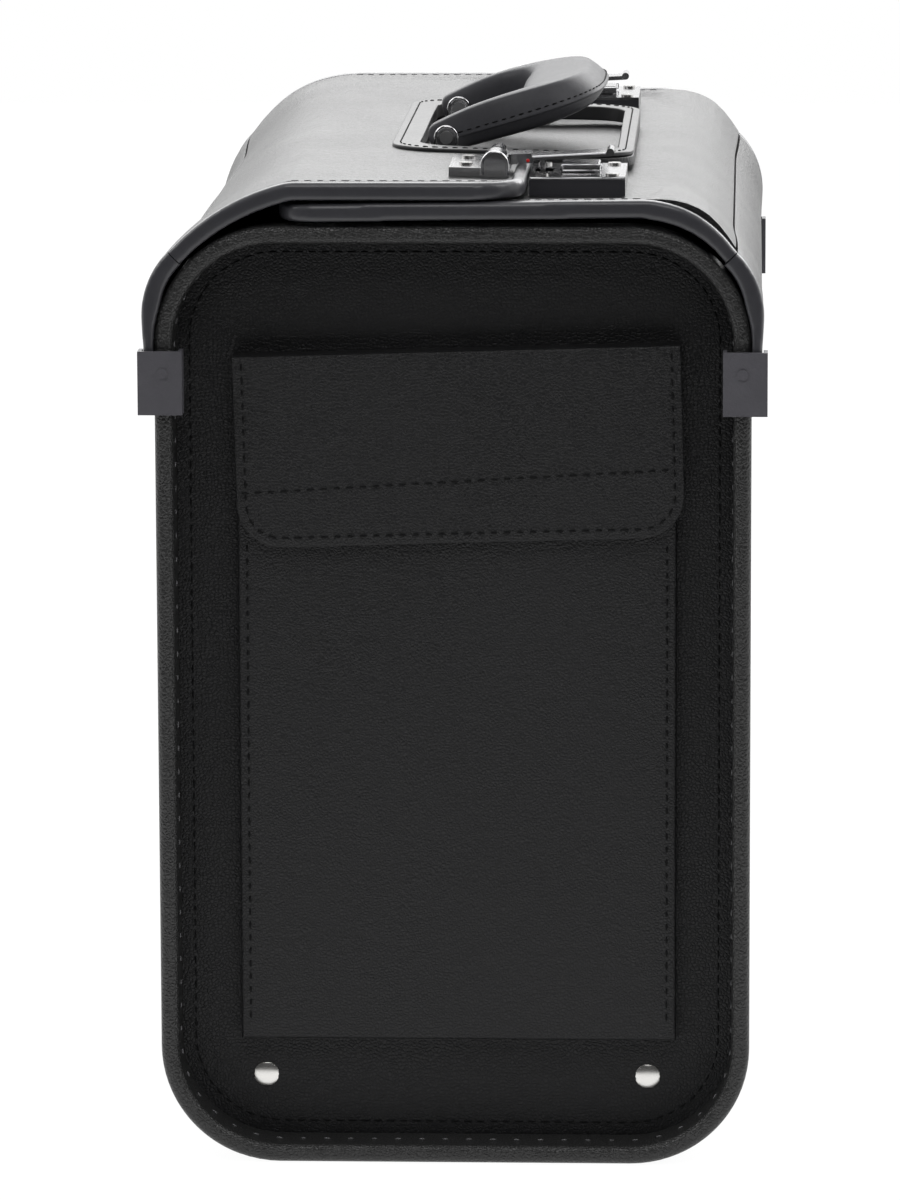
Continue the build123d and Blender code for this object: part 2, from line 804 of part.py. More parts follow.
def lock_spring():
    """The near lock's leaf, bowed between the slider's body and the case wall."""
    left = button_left + button_width + slide_right_overrun + slide_gap
    right = lock_left + lock_width - lock_wall - spring_wall_gap
    floor = inner_panel_z + lock_floor
    end = spring_half_length
    arc = ThreePointArc((right, -end), (left + spring_thickness, 0), (right, end))
    outer = ThreePointArc((right - spring_foot, -end), (left, 0), (right - spring_foot, end))
    closing = [Line(arc @ 0, outer @ 0), Line(arc @ 1, outer @ 1)]
    leaf = extrude(make_face(Wire([arc, outer] + closing)), amount=spring_height)
    return Pos(0, -lock_centre, floor) * leaf


def hasp_seat():
    """The near hasp's place on the sloping outer flap."""
    drop = (hasp_x + outer_kink_x) * math.tan(math.radians(outer_slope))
    seat_z = outer_kink_z - drop + hasp_seat_gap
    return Location((hasp_x, -lock_centre, seat_z), (0, outer_slope, 0))


def hasp_pin_place():
    """The middle of the near hasp's pin."""
    seat = hasp_seat() * Pos(0, 0, hasp_pin_lift)
    return (seat.position.X, seat.position.Y, seat.position.Z)


def hasp_screw_places():
    """The near hasp's two screws, measured from its seat."""
    x = (hasp_plate_left + hasp_block_right) / 2 - hasp_x
    return [(x, y) for y in (-lock_length / 4, lock_length / 4)]


def hasp_base():
    """The near hasp's plate with a raised block, the arched knuckle and the tail knuckle."""
    half = lock_length / 2
    left = hasp_plate_left - hasp_x
    plate = block(left, hasp_plate_right - hasp_x, -half, half, 0, hasp_plate_thickness)
    raised = block(left, hasp_block_right - hasp_x, -half, half, 0, hasp_block_height)
    radius = knuckle_width / 2
    arch = Pos(0, knuckle_height - radius) * Circle(radius)
    foot = Pos(0, (knuckle_height - radius) / 2) * Rectangle(knuckle_width, knuckle_height - radius)
    limit = Pos(0, knuckle_height / 2) * Rectangle(knuckle_width, knuckle_height)
    front = prism_y((arch + foot) & limit, -half, -half + knuckle_length)
    tail_low = hasp_arm_width / 2 + knuckle_gap
    tail_arch = Pos(0, hasp_pin_lift) * Circle(tail_knuckle_radius)
    tail_foot = Pos(0, hasp_pin_lift / 2) * Rectangle(2 * tail_knuckle_radius, hasp_pin_lift)
    tail = prism_y(tail_arch + tail_foot, tail_low, tail_low + tail_knuckle_length)
    hole = rod_y(0, hasp_pin_lift, hasp_pin_radius, -half + hasp_pin_inset, half)
    screws = [Pos(x, y, 0) * Cylinder(screw_shank_radius, screw_hole_length)
              for x, y in hasp_screw_places()]
    return hasp_seat() * (plate + raised + front + tail - hole - screws)


def hasp_base_screws():
    """The screws of both hasp bases."""
    near = [hasp_seat() * pan_screw(x, y, hasp_block_height, hasp_block_height)
            for x, y in hasp_screw_places()]
    return grouped(*near, *[rear_of(screw) for screw in near])


def hasp_pin():
    """The near hasp's pin, through both knuckles."""
    low = -lock_length / 2 + hasp_pin_inset
    high = hasp_arm_width / 2 + knuckle_gap + tail_knuckle_length
    return hasp_seat() * rod_y(0, hasp_pin_lift, hasp_pin_radius, low, high)


def hasp_arm():
    """The near hasp's arm with its staple, raised a little from the lock."""
    x, y, z = hasp_pin_place()
    half = hasp_arm_width / 2
    hub_low = -lock_length / 2 + knuckle_length + knuckle_gap
    hub = rod_y(0, 0, hasp_hub_radius, hub_low, half)
    root = block(0, hasp_root_right - x, -half, half, -hasp_root_drop, hasp_root_height - hasp_root_drop)
    blade = block(0, hasp_arm_tip - x, -half, half, -hasp_arm_drop, hasp_arm_thickness - hasp_arm_drop)
    curl_z = hasp_tip_radius - hasp_arm_drop
    curl = rod_y(hasp_arm_tip - x, curl_z, hasp_tip_radius, -half, half)
    low = inner_panel_z + lock_floor + staple_bottom_gap - z
    staple = block(staple_x - x, staple_x + staple_thickness - x, -staple_width / 2, staple_width / 2,
                   low, -hasp_arm_drop)
    eye_half = staple_width / 2 - staple_post
    eye = block(staple_x - x - cut_margin, staple_x + staple_thickness - x + cut_margin,
                -eye_half, eye_half, low + staple_bar, -hasp_arm_drop - staple_bar)
    hole = rod_y(0, 0, hasp_pin_radius + pin_fit, -half * 2, half * 2)
    solid = hub + root + blade + curl + staple - eye - hole
    return Pos(x, y, z) * Rot(0, -hasp_raise, 0) * solid


def pocket_body():
    """The pouch on the near end panel, open at the top."""
    low_x, high_x = pocket_shift - pocket_half_width, pocket_shift + pocket_half_width
    front = -panel_face - pocket_room - pocket_wall
    shell = block(low_x, high_x, front, -panel_face, pocket_bottom, pocket_mouth)
    shell = fillet(shell.edges().group_by(Axis.Y)[0], pocket_wall)
    room = block(low_x + pocket_wall, high_x - pocket_wall, front + pocket_wall, -panel_face,
                 pocket_bottom + pocket_wall, pocket_mouth + cut_margin)
    return shell - room


def pocket_flap_back():
    """The Y of the flap's inner face, clear of the two closure pads."""
    return -panel_face - pocket_room - pocket_wall - 2 * closure_pad_thickness - pocket_flap_gap


def skewed(solid):
    """Turn a piece with the flap, which is sewn on a little askew."""
    pivot = Pos(pocket_shift, 0, pocket_flap_top)
    return pivot * Rot(0, -pocket_flap_skew, 0) * pivot.inverse() * solid


def pocket_flap():
    """The flap that hangs over the mouth of the pocket, with round lower corners."""
    back = pocket_flap_back()
    face = Pos(pocket_shift, pocket_flap_top - pocket_flap_drop / 2) * Rectangle(
        2 * pocket_flap_half_width, pocket_flap_drop)
    face = fillet(face.vertices().group_by(Axis.Y)[0], pocket_flap_radius)
    return skewed(prism_y(face, back - pocket_flap_thickness, back))


def pocket_hem():
    """The strip that joins the flap to the end panel above the mouth."""
    low_x, high_x = pocket_shift - pocket_flap_half_width, pocket_shift + pocket_flap_half_width
    return skewed(block(low_x, high_x, pocket_flap_back() + pocket_flap_gap / 2, -panel_face,
                        pocket_flap_top - pocket_hem_thickness, pocket_flap_top))


def closure_pad(back):
    """One pad of the pocket's closure, with its rear face at back."""
    half = closure_pad_width / 2
    return skewed(block(pocket_shift - half, pocket_shift + half, back - closure_pad_thickness, back,
                        closure_pad_z - closure_pad_height / 2, closure_pad_z + closure_pad_height / 2))


def hook_pad():
    """The pad on the pocket."""
    return closure_pad(-panel_face - pocket_room - pocket_wall)


def loop_pad():
    """The pad under the flap."""
    return closure_pad(pocket_flap_back() + closure_pad_thickness)


def both_ends(name, solid):
    """A near piece and its mirror image at the rear end."""
    return {"front_" + name: solid, "rear_" + name: rear_of(solid)}


def pair_of(solid):
    """A near piece and its rear copy, kept in one node."""
    return grouped(solid, rear_of(solid))


def case_nodes():
    """Every piece of the case, by its node's name."""
    left_strip = hinge_strip()
    nodes = {
        "body_wrap": body_wrap(),
        "bottom_board": bottom_board(),
        "lining": lining(),
        "divider": divider(),
        "left_hinge_strip": left_strip,
        "right_hinge_strip": right_of(left_strip),
        "left_strip_bindings": pair_of(strip_binding()),
        "right_strip_bindings": pair_of(right_of(strip_binding())),
        "clip_rivets": all_clip_rivets(),
        "pocket_body": pocket_body(),
        "pocket_hem": pocket_hem(),
        "pocket_hook_pad": hook_pad(),
        "pocket_flap": pocket_flap(),
        "pocket_loop_pad": loop_pad(),
    }
    nodes.update(both_ends("hoop", end_hoop()))
    nodes.update(both_ends("end_panel", end_panel()))
    nodes.update(both_ends("rim_binding", rim_binding()))
    nodes.update(both_ends("bottom_angle", bottom_angle()))
    nodes.update(both_ends("panel_rivets", panel_rivets()))
    nodes.update(both_ends("flap_clips", all_clips()))
    return nodes


def flap_nodes():
    """Both flaps and what is fixed to them, by node name."""
    nodes = {
        "outer_flap_panel": outer_flap_panel(),
        "outer_flap_binding": outer_flap_binding(),
        "slot_frame": slot_frame(),
        "hasp_base_screws": hasp_base_screws(),
        "inner_flap_panel": inner_flap_panel(),
        "inner_flap_binding": inner_flap_binding(),
        "handle_plate": handle_plate(),
        "bracket_rivets": bracket_rivets(),
        "handle_pins": handle_pins(),
        "handle_grip": handle_grip(),
        "lock_screws": lock_screws(),
    }
    nodes.update(both_ends("handle_bracket", handle_bracket()))
    nodes.update(both_ends("hasp_base", hasp_base()))
    nodes.update(both_ends("hasp_pin", hasp_pin()))
    nodes.update(both_ends("hasp_arm", hasp_arm()))
    nodes.update(both_ends("lock_case", lock_case()))
    nodes.update(both_ends("lock_plate", lock_plate_cover()))
    nodes.update(both_ends("lock_slider", lock_slider()))
    nodes.update(both_ends("lock_spring", lock_spring()))
    return nodes


def joint_axes():
    """Each joint's axis direction and a point on it, in millimetres."""
    lift = fold_axis_lift / math.sqrt(2)
    middle = fold_gap / math.sqrt(2) / 2
    fold = (-fold_x + middle - lift, 0.0, fold_z + middle + lift)
    skew = math.radians(pocket_flap_skew)
    pin = hasp_pin_place()
    return {
        "outer_flap_hinge": ((0, -1, 0), fold),
        "inner_flap_hinge": ((0, 1, 0), (-fold[0], 0.0, fold[2])),
        "handle_pivot": ((0, -1, 0), (handle_x, 0.0, handle_pivot_z)),
        "front_hasp_hinge": ((0, -1, 0), pin),
        "pocket_flap_hinge": (
            (math.cos(skew), 0, math.sin(skew)),
            (pocket_shift, pocket_flap_back() + pocket_flap_gap / 3, pocket_flap_top + pocket_flap_gap),
        ),
    }


def main():
    """Build every node and write it out."""
    os.makedirs("parts", exist_ok=True)
    nodes = case_nodes()
    nodes.update(flap_nodes())
    for name, solid in nodes.items():
        export_step(solid, f"parts/{name}.step")
    for name, (direction, point) in joint_axes().items():
        print(name, [round(v, 4) for v in direction], [round(v, 3) for v in point])


main()
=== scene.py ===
import json
import logging
import math
from dataclasses import dataclass
from enum import Enum

import bmesh
import bpy
from mathutils import Matrix, Vector


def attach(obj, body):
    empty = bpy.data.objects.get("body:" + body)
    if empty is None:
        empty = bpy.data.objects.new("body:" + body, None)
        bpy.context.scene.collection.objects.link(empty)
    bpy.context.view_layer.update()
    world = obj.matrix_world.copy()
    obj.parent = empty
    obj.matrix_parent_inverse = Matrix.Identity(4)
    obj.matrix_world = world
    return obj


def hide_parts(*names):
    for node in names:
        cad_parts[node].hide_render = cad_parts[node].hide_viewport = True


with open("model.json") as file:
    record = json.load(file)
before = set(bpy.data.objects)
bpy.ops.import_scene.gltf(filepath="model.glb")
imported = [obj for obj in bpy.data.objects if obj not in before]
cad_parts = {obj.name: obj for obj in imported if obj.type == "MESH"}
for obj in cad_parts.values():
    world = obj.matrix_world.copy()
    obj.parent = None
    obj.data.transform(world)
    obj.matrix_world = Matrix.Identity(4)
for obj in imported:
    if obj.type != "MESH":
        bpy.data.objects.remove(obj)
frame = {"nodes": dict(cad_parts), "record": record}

log = logging.getLogger("case")
# Sizes are in millimetres, except in the studio and in the finishes.
MM = 0.001
NODES = frame["nodes"]
ENDS = ("front", "rear")
WHITE = (1.0, 1.0, 1.0, 1.0)


class Link:
    """One node's output, whose maths is written as Python expressions."""

    def __init__(self, nodes: "Nodes", socket: bpy.types.NodeSocket) -> None:
        """Keep the output that this value comes from, and the tree that new nodes are added to."""
        self.nodes = nodes
        self.socket = socket

    def _math(self, operation: str, first: object, second: object) -> "Link":
        """Return what one Math node makes of two values or links."""
        return self.nodes.node("ShaderNodeMath", {"operation": operation}, {0: first, 1: second})

    def __add__(self, other: object) -> "Link":
        """Return self + other."""
        return self._math("ADD", self, other)

    def __mul__(self, other: object) -> "Link":
        """Return self * other."""
        return self._math("MULTIPLY", self, other)

    def power(self, exponent: float) -> "Link":
        """Return the value to a power."""
        return self._math("POWER", self, exponent)

    def also(self, output: str) -> "Link":
        """Return another output of the same node."""
        return Link(self.nodes, self.socket.node.outputs[output])


class Nodes:
    """A node tree, whose nodes are added, set and linked by one method."""

    def __init__(self, tree: bpy.types.NodeTree) -> None:
        """Empty the tree of a material, a world or a Geometry Nodes group."""
        self.tree = tree
        tree.nodes.clear()

    def feed(self, socket: bpy.types.NodeSocket, value: object) -> None:
        """Set a socket to a value, or link it.

        Args:
            socket: The input socket.
            value: A number, a tuple or a Link.
        """
        if isinstance(value, Link):
            self.tree.links.new(value.socket, socket)
        else:
            socket.default_value = value

    def node(self, kind: str, settings: dict, inputs: dict, output: object = 0) -> Link:
        """Add a node of any kind.

        Args:
            kind: The node's type.
            settings: Its properties, set before its sockets.
            inputs: Values or links by socket name or number.
            output: The name or number of the output to return.

        Returns:
            The chosen output, or None where the node has none.
        """
        made = self.tree.nodes.new(kind)
        for key, value in settings.items():
            setattr(made, key, value)
        for key, value in inputs.items():
            self.feed(made.inputs[key], value)
        return Link(self, made.outputs[output]) if made.outputs else None


class Shader(Nodes):
    """A material's node tree, with a Principled shader at its end."""

    def __init__(self, name: str) -> None:
        """Start an empty material of this name."""
        self.material = bpy.data.materials.new(f"case_{name}")
        self.material.use_nodes = True
        super().__init__(self.material.node_tree)
        self.shaded = self.node("ShaderNodeBsdfPrincipled", {}, {})
        self.end = self.tree.nodes.new("ShaderNodeOutputMaterial")
        self.show(self.shaded)

    def show(self, surface: Link) -> None:
        """Make a link what the surface shows."""
        self.feed(self.end.inputs["Surface"], surface)

    def set(self, name: str, value: object) -> None:
        """Set one input of the Principled shader.

        Args:
            name: The input's name.
            value: A number, a tuple or a Link.
        """
        self.feed(self.shaded.socket.node.inputs[name], value)

    def place(self) -> Link:
        """Return the object coordinates."""
        return self.node("ShaderNodeTexCoord", {}, {}, "Object")

    def noise(self, scale: float, detail: float = 4.0, roughness: float = 0.55) -> Link:
        """Return a noise between 0 and 1.

        Args:
            scale: Its scale, per metre.
            detail: Its octaves.
            roughness: How strong the finer octaves are.

        Returns:
            The noise's value.
        """
        return self.node("ShaderNodeTexNoise", {}, {
            "Vector": self.place(), "Scale": scale, "Detail": detail, "Roughness": roughness}, 0)

    def cells(self, scale: float) -> Link:
        """Return the distance from the edges of small cells, of which there are so many per metre."""
        return self.node("ShaderNodeTexVoronoi", {"feature": "DISTANCE_TO_EDGE"}, {
            "Vector": self.place(), "Scale": scale, "Randomness": 1.0}, "Distance")

    def blend(self, factor: object, first: tuple, second: tuple) -> Link:
        """Mix two colours.

        Args:
            factor: How much of the second shows.
            first: A colour.
            second: A colour.

        Returns:
            The mixed colour.
        """
        return self.node("ShaderNodeMix", {"data_type": "RGBA"}, {0: factor, 6: first, 7: second}, 2)

    def bump(self, height: Link, depth: float) -> None:
        """Turn a height into the surface's bump.

        Args:
            height: The height, 0 to 1.
            depth: What 1 stands for, in metres.
        """
        normal = self.node("ShaderNodeBump", {}, {"Height": height, "Distance": depth, "Strength": 1.0})
        self.set("Normal", normal)


def rgba(red: float, green: float, blue: float) -> tuple:
    """Return a linear colour from 0 to 255 display values."""
    def linear(value: float) -> float:
        """Return one channel's linear value."""
        share = value / 255.0
        return share / 12.92 if share <= 0.04045 else ((share + 0.055) / 1.055) ** 2.4
    return (linear(red), linear(green), linear(blue), 1.0)


def tinted(colour: tuple, share: float) -> tuple:
    """Return a colour made darker or lighter by a factor."""
    return tuple(value * share for value in colour[:3]) + (1.0,)


@dataclass(frozen=True)
class GrainedVinyl:
    """Coated cloth: a pebbled surface with a satin coat."""

    name: str
    colour: tuple
    pebble: float = 900.0
    depth: float = 0.00012
    rough: float = 0.42
    spread: float = 0.14
    crease: float = 260.0
    crease_depth: float = 1.2
    specular: float = 0.5
    grain_and_glint_contrast: float = 2.2
    patches: float = 14.0
    finer: float = 2.2
    patch_share: float = 0.3
    pebble_share: float = 1.2
    fine_share: float = 0.3
    roundness: float = 0.5

    def make(self) -> bpy.types.Material:
        """Return the finished material."""
        shader = Shader(self.name)
        pebbles = shader.cells(self.pebble)
        fine = shader.noise(self.pebble * self.finer, 3.0)
        patch = shader.noise(self.patches, 3.0)
        # The pebble tone is partly the real grain and partly painted glints on the pebble tops.
        tone = patch * self.patch_share + pebbles * self.pebble_share + fine * self.fine_share
        shader.set("Base Color", shader.blend(tone, self.colour, tinted(self.colour, self.grain_and_glint_contrast)))
        shader.set("Roughness", patch * self.spread + fine * self.spread + (self.rough - self.spread))
        shader.set("Specular IOR Level", self.specular)
        creases = shader.noise(self.crease, 5.0, 0.6)
        height = pebbles.power(self.roundness) + fine * self.fine_share + creases * self.crease_depth
        shader.bump(height, self.depth)
        return shader.material


@dataclass(frozen=True)
class SmoothLeather:
    """Leatherette with fine creases, glossier than the grained one."""

    name: str
    colour: tuple
    rough: float = 0.3
    crease: float = 420.0
    depth: float = 0.00006
    coat: float = 0.0
    specular: float = 0.5
    worn: float = 1.7
    crease_share: float = 0.16
    patch_share: float = 0.08

    def make(self) -> bpy.types.Material:
        """Return the finished material."""
        shader = Shader(self.name)
        shader.set("Specular IOR Level", self.specular)
        crease = shader.noise(self.crease, 6.0, 0.7)
        patch = shader.noise(18.0, 2.0)
        shader.set("Base Color", shader.blend(crease * patch, self.colour, tinted(self.colour, self.worn)))
        even = self.rough - (self.crease_share + self.patch_share) / 2
        shader.set("Roughness", crease * self.crease_share + patch * self.patch_share + even)
        shader.set("Coat Weight", self.coat)
        shader.bump(crease, self.depth)
        return shader.material


@dataclass(frozen=True)
class Metal:
    """Plated metal, polished or plain, with fine handling marks."""

    name: str
    colour: tuple
    rough: float = 0.12
    scratch: float = 0.06
    dull: float = 0.82
    depth: float = 0.000008

    def make(self) -> bpy.types.Material:
        """Return the finished material."""
        shader = Shader(self.name)
        marks = shader.noise(900.0, 5.0, 0.75)
        cloud = shader.noise(60.0, 3.0)
        shader.set("Base Color", shader.blend(cloud, self.colour, tinted(self.colour, self.dull)))
        shader.set("Metallic", 1.0)
        shader.set("Roughness", marks * self.scratch + cloud * self.scratch + self.rough)
        shader.bump(marks, self.depth)
        return shader.material


@dataclass(frozen=True)
class Moulded:
    """Moulded or lacquered plastic-like finish."""

    name: str
    colour: tuple
    rough: float = 0.4
    depth: float = 0.00002
    light: float = 1.35
    spread: float = 0.1

    def make(self) -> bpy.types.Material:
        """Return the finished material."""
        shader = Shader(self.name)
        speck = shader.noise(2400.0, 3.0)
        cloud = shader.noise(45.0, 3.0)
        shader.set("Base Color", shader.blend(cloud, self.colour, tinted(self.colour, self.light)))
        shader.set("Roughness", speck * self.spread + cloud * self.spread + (self.rough - self.spread))
        shader.bump(speck, self.depth)
        return shader.material


@dataclass(frozen=True)
class Woven:
    """Plain weave cloth or a hook and loop pad."""

    name: str
    colour: tuple
    threads: float = 4200.0
    light: float = 2.0
    depth: float = 0.0001

    def make(self) -> bpy.types.Material:
        """Return the finished material."""
        shader = Shader(self.name)
        warp, weft = (
            shader.node("ShaderNodeTexWave", {"bands_direction": across}, {
                "Vector": shader.place(), "Scale": self.threads / 20.0, "Distortion": 0.6}, "Fac")
            for across in "ZY")
        shader.set("Base Color", shader.blend(warp * weft, self.colour, tinted(self.colour, self.light)))
        shader.set("Roughness", warp * 0.1 + 0.82)
        shader.bump(warp * 0.5 + weft * 0.5, self.depth)
        return shader.material


class Finish(Enum):
    """Every finish on the case."""

    VINYL = GrainedVinyl("vinyl", rgba(22, 22, 23), 520.0, 0.00022, 0.36)
    # The end panels and the pocket are the same black vinyl as the top: their darker base colour is painted
    # shade of the recessed ends, and their specular is lower.
    PANEL = GrainedVinyl("panel_vinyl", rgba(17, 17, 18), 700.0, 0.00030, 0.46,
                         specular=0.34, grain_and_glint_contrast=3.0)
    POCKET = GrainedVinyl("pocket_vinyl", rgba(18, 18, 19), 760.0, 0.00028, 0.42,
                          specular=0.36, grain_and_glint_contrast=3.0)
    # The rim's strong pebble contrast paints the highlights on its pebbles as well as its grain.
    RIM = GrainedVinyl("rim_vinyl", rgba(27, 27, 27), 640.0, 0.00035, 0.32, crease_depth=0.3, grain_and_glint_contrast=3.4)
    PIPING = SmoothLeather("piping", rgba(54, 54, 58), 0.38, 300.0, 0.00004, 0.25)
    FRAME = SmoothLeather("frame_leather", rgba(38, 38, 39), 0.36)
    HANDLE = SmoothLeather("handle_leather", rgba(62, 62, 65), 0.38, 500.0, specular=0.13)
    # The real stitches are all one thread: the light grey thread paints the glints on the stitches, and the
    # near-black thread below paints the shade in the stitch holes.
    THREAD = SmoothLeather("thread", rgba(92, 92, 94), 0.40, 2500.0, 0.00003)
    SHADED_THREAD = SmoothLeather("dark_thread", rgba(6, 6, 7), 0.6, 2500.0, 0.00003, specular=0.2)
    BOARD = Moulded("board", rgba(62, 58, 52), 0.75, 0.00006)
    LINING = Woven("lining_fabric", rgba(56, 56, 58))
    PAD = Woven("pad_fabric", rgba(30, 30, 30), 6000.0)
    CLIP = SmoothLeather("clip_plastic", rgba(78, 77, 82), 0.44, 85.0, 0.00060)
    BLACK = Moulded("lock_black", rgba(52, 52, 56), 0.16, 0.000008)
    DARK = Moulded("dark_metal", rgba(58, 58, 60), 0.35)
    CHROME = Metal("chrome", (0.64, 0.64, 0.65, 1.0), 0.06, 0.05)
    NICKEL = Metal("nickel", (0.76, 0.75, 0.73, 1.0), 0.10, 0.06)
    DOME = Metal("domed_nickel", (0.92, 0.91, 0.88, 1.0), 0.20, 0.05)
    STEEL = Metal("steel", (0.55, 0.55, 0.56, 1.0), 0.26, 0.10)
    RED = Moulded("red_dot", rgba(190, 30, 30), 0.3)

    def material(self) -> bpy.types.Material:
        """Return this finish's material, made on first use."""
        if self not in MADE:
            MADE[self] = self.value.make()
        return MADE[self]


MADE = {}
SLOT_FINISH = {finish.value.name: finish for finish in Finish}


class Seam(Enum):
    """Every kind of seam: its pitch, stitch length and thread radius in millimetres, and its thread."""

    PANEL = (5.0, 3.4, 0.4, Finish.SHADED_THREAD)
    RIM = (9.2, 2.4, 0.42, Finish.THREAD)
    POCKET = (5.0, 2.8, 0.42, Finish.SHADED_THREAD)
    POCKET_FLAP = (5.0, 3.0, 0.42, Finish.SHADED_THREAD)
    SLOT = (4.0, 2.5, 0.35, Finish.SHADED_THREAD)
    FLAP = (4.6, 3.0, 0.2, Finish.THREAD)
    HANDLE = (3.6, 2.3, 0.32, Finish.SHADED_THREAD)


def in_scene(name: str, data: bpy.types.ID) -> bpy.types.Object:
    """Make an object of a mesh, camera or lamp, in the scene."""
    made = bpy.data.objects.new(name, data)
    bpy.context.scene.collection.objects.link(made)
    return made


def result_of(holder: bpy.types.Object) -> bpy.types.Mesh:
    """Return what a helper's modifiers make as a plain mesh, and remove the helper."""
    mesh = bpy.data.meshes.new_from_object(holder.evaluated_get(bpy.context.evaluated_depsgraph_get()))
    bpy.data.objects.remove(holder)
    return mesh


def new_piece(name: str, mesh: bpy.types.Mesh, finish: Finish, body: str,
              *replaced: str) -> bpy.types.Object:
    """Put a finished mesh in the scene and let it ride on its body.

    Args:
        name: The piece's name.
        mesh: Its mesh, in place.
        finish: Its finish.
        body: The CAD body it moves with.
        replaced: The CAD nodes that it stands for.

    Returns:
        The new object.
    """
    piece = in_scene(name, mesh)
    mesh.materials.clear()
    mesh.materials.append(finish.material())
    for face in mesh.polygons:
        face.use_smooth = True
    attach(piece, body)
    if replaced:
        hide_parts(*replaced)
    log.info("%s rides on %s", name, body)
    return piece


def mesh_from(name: str, points: list[Vector], faces: list[tuple]) -> bpy.types.Mesh:
    """Make a mesh whose faces point outwards.

    Args:
        name: The mesh's name.
        points: Its corners.
        faces: Its faces, by corner number.

    Returns:
        The mesh, welded and with normals worked out.
    """
    mesh = bpy.data.meshes.new(name)
    mesh.from_pydata([tuple(point) for point in points], [], faces)
    build = bmesh.new()
    build.from_mesh(mesh)
    bmesh.ops.remove_doubles(build, verts=build.verts, dist=1e-6)
    bmesh.ops.recalc_face_normals(build, faces=build.faces)
    build.to_mesh(mesh)
    build.free()
    return mesh


def tube_faces(rings: int, count: int) -> list[tuple]:
    """Return the walls between rings of points and the two caps, by corner number.

    Args:
        rings: How many rings there are.
        count: How many points each has.

    Returns:
        The faces.
    """
    walls = [(ring * count + step, ring * count + (step + 1) % count,
              (ring + 1) * count + (step + 1) % count, (ring + 1) * count + step)
             for ring in range(rings - 1) for step in range(count)]
    return walls + [tuple(range((rings - 1) * count, rings * count)), tuple(range(count))]


def even_shading(mesh: bpy.types.Mesh) -> None:
    """Weigh each corner's normal by the area of the faces round it, where all faces are smooth."""
    normals = [Vector() for _ in mesh.vertices]
    for face in mesh.polygons:
        for index in face.vertices:
            normals[index] += face.normal * face.area
    mesh.normals_split_custom_set_from_vertices([normal.normalized() for normal in normals])


def smooth_step(low: float, high: float, value: float) -> float:
    """Return 0 below low, 1 above high and a smooth rise between."""
    share = min(1.0, max(0.0, (value - low) / (high - low)))
    return share * share * (3.0 - 2.0 * share)


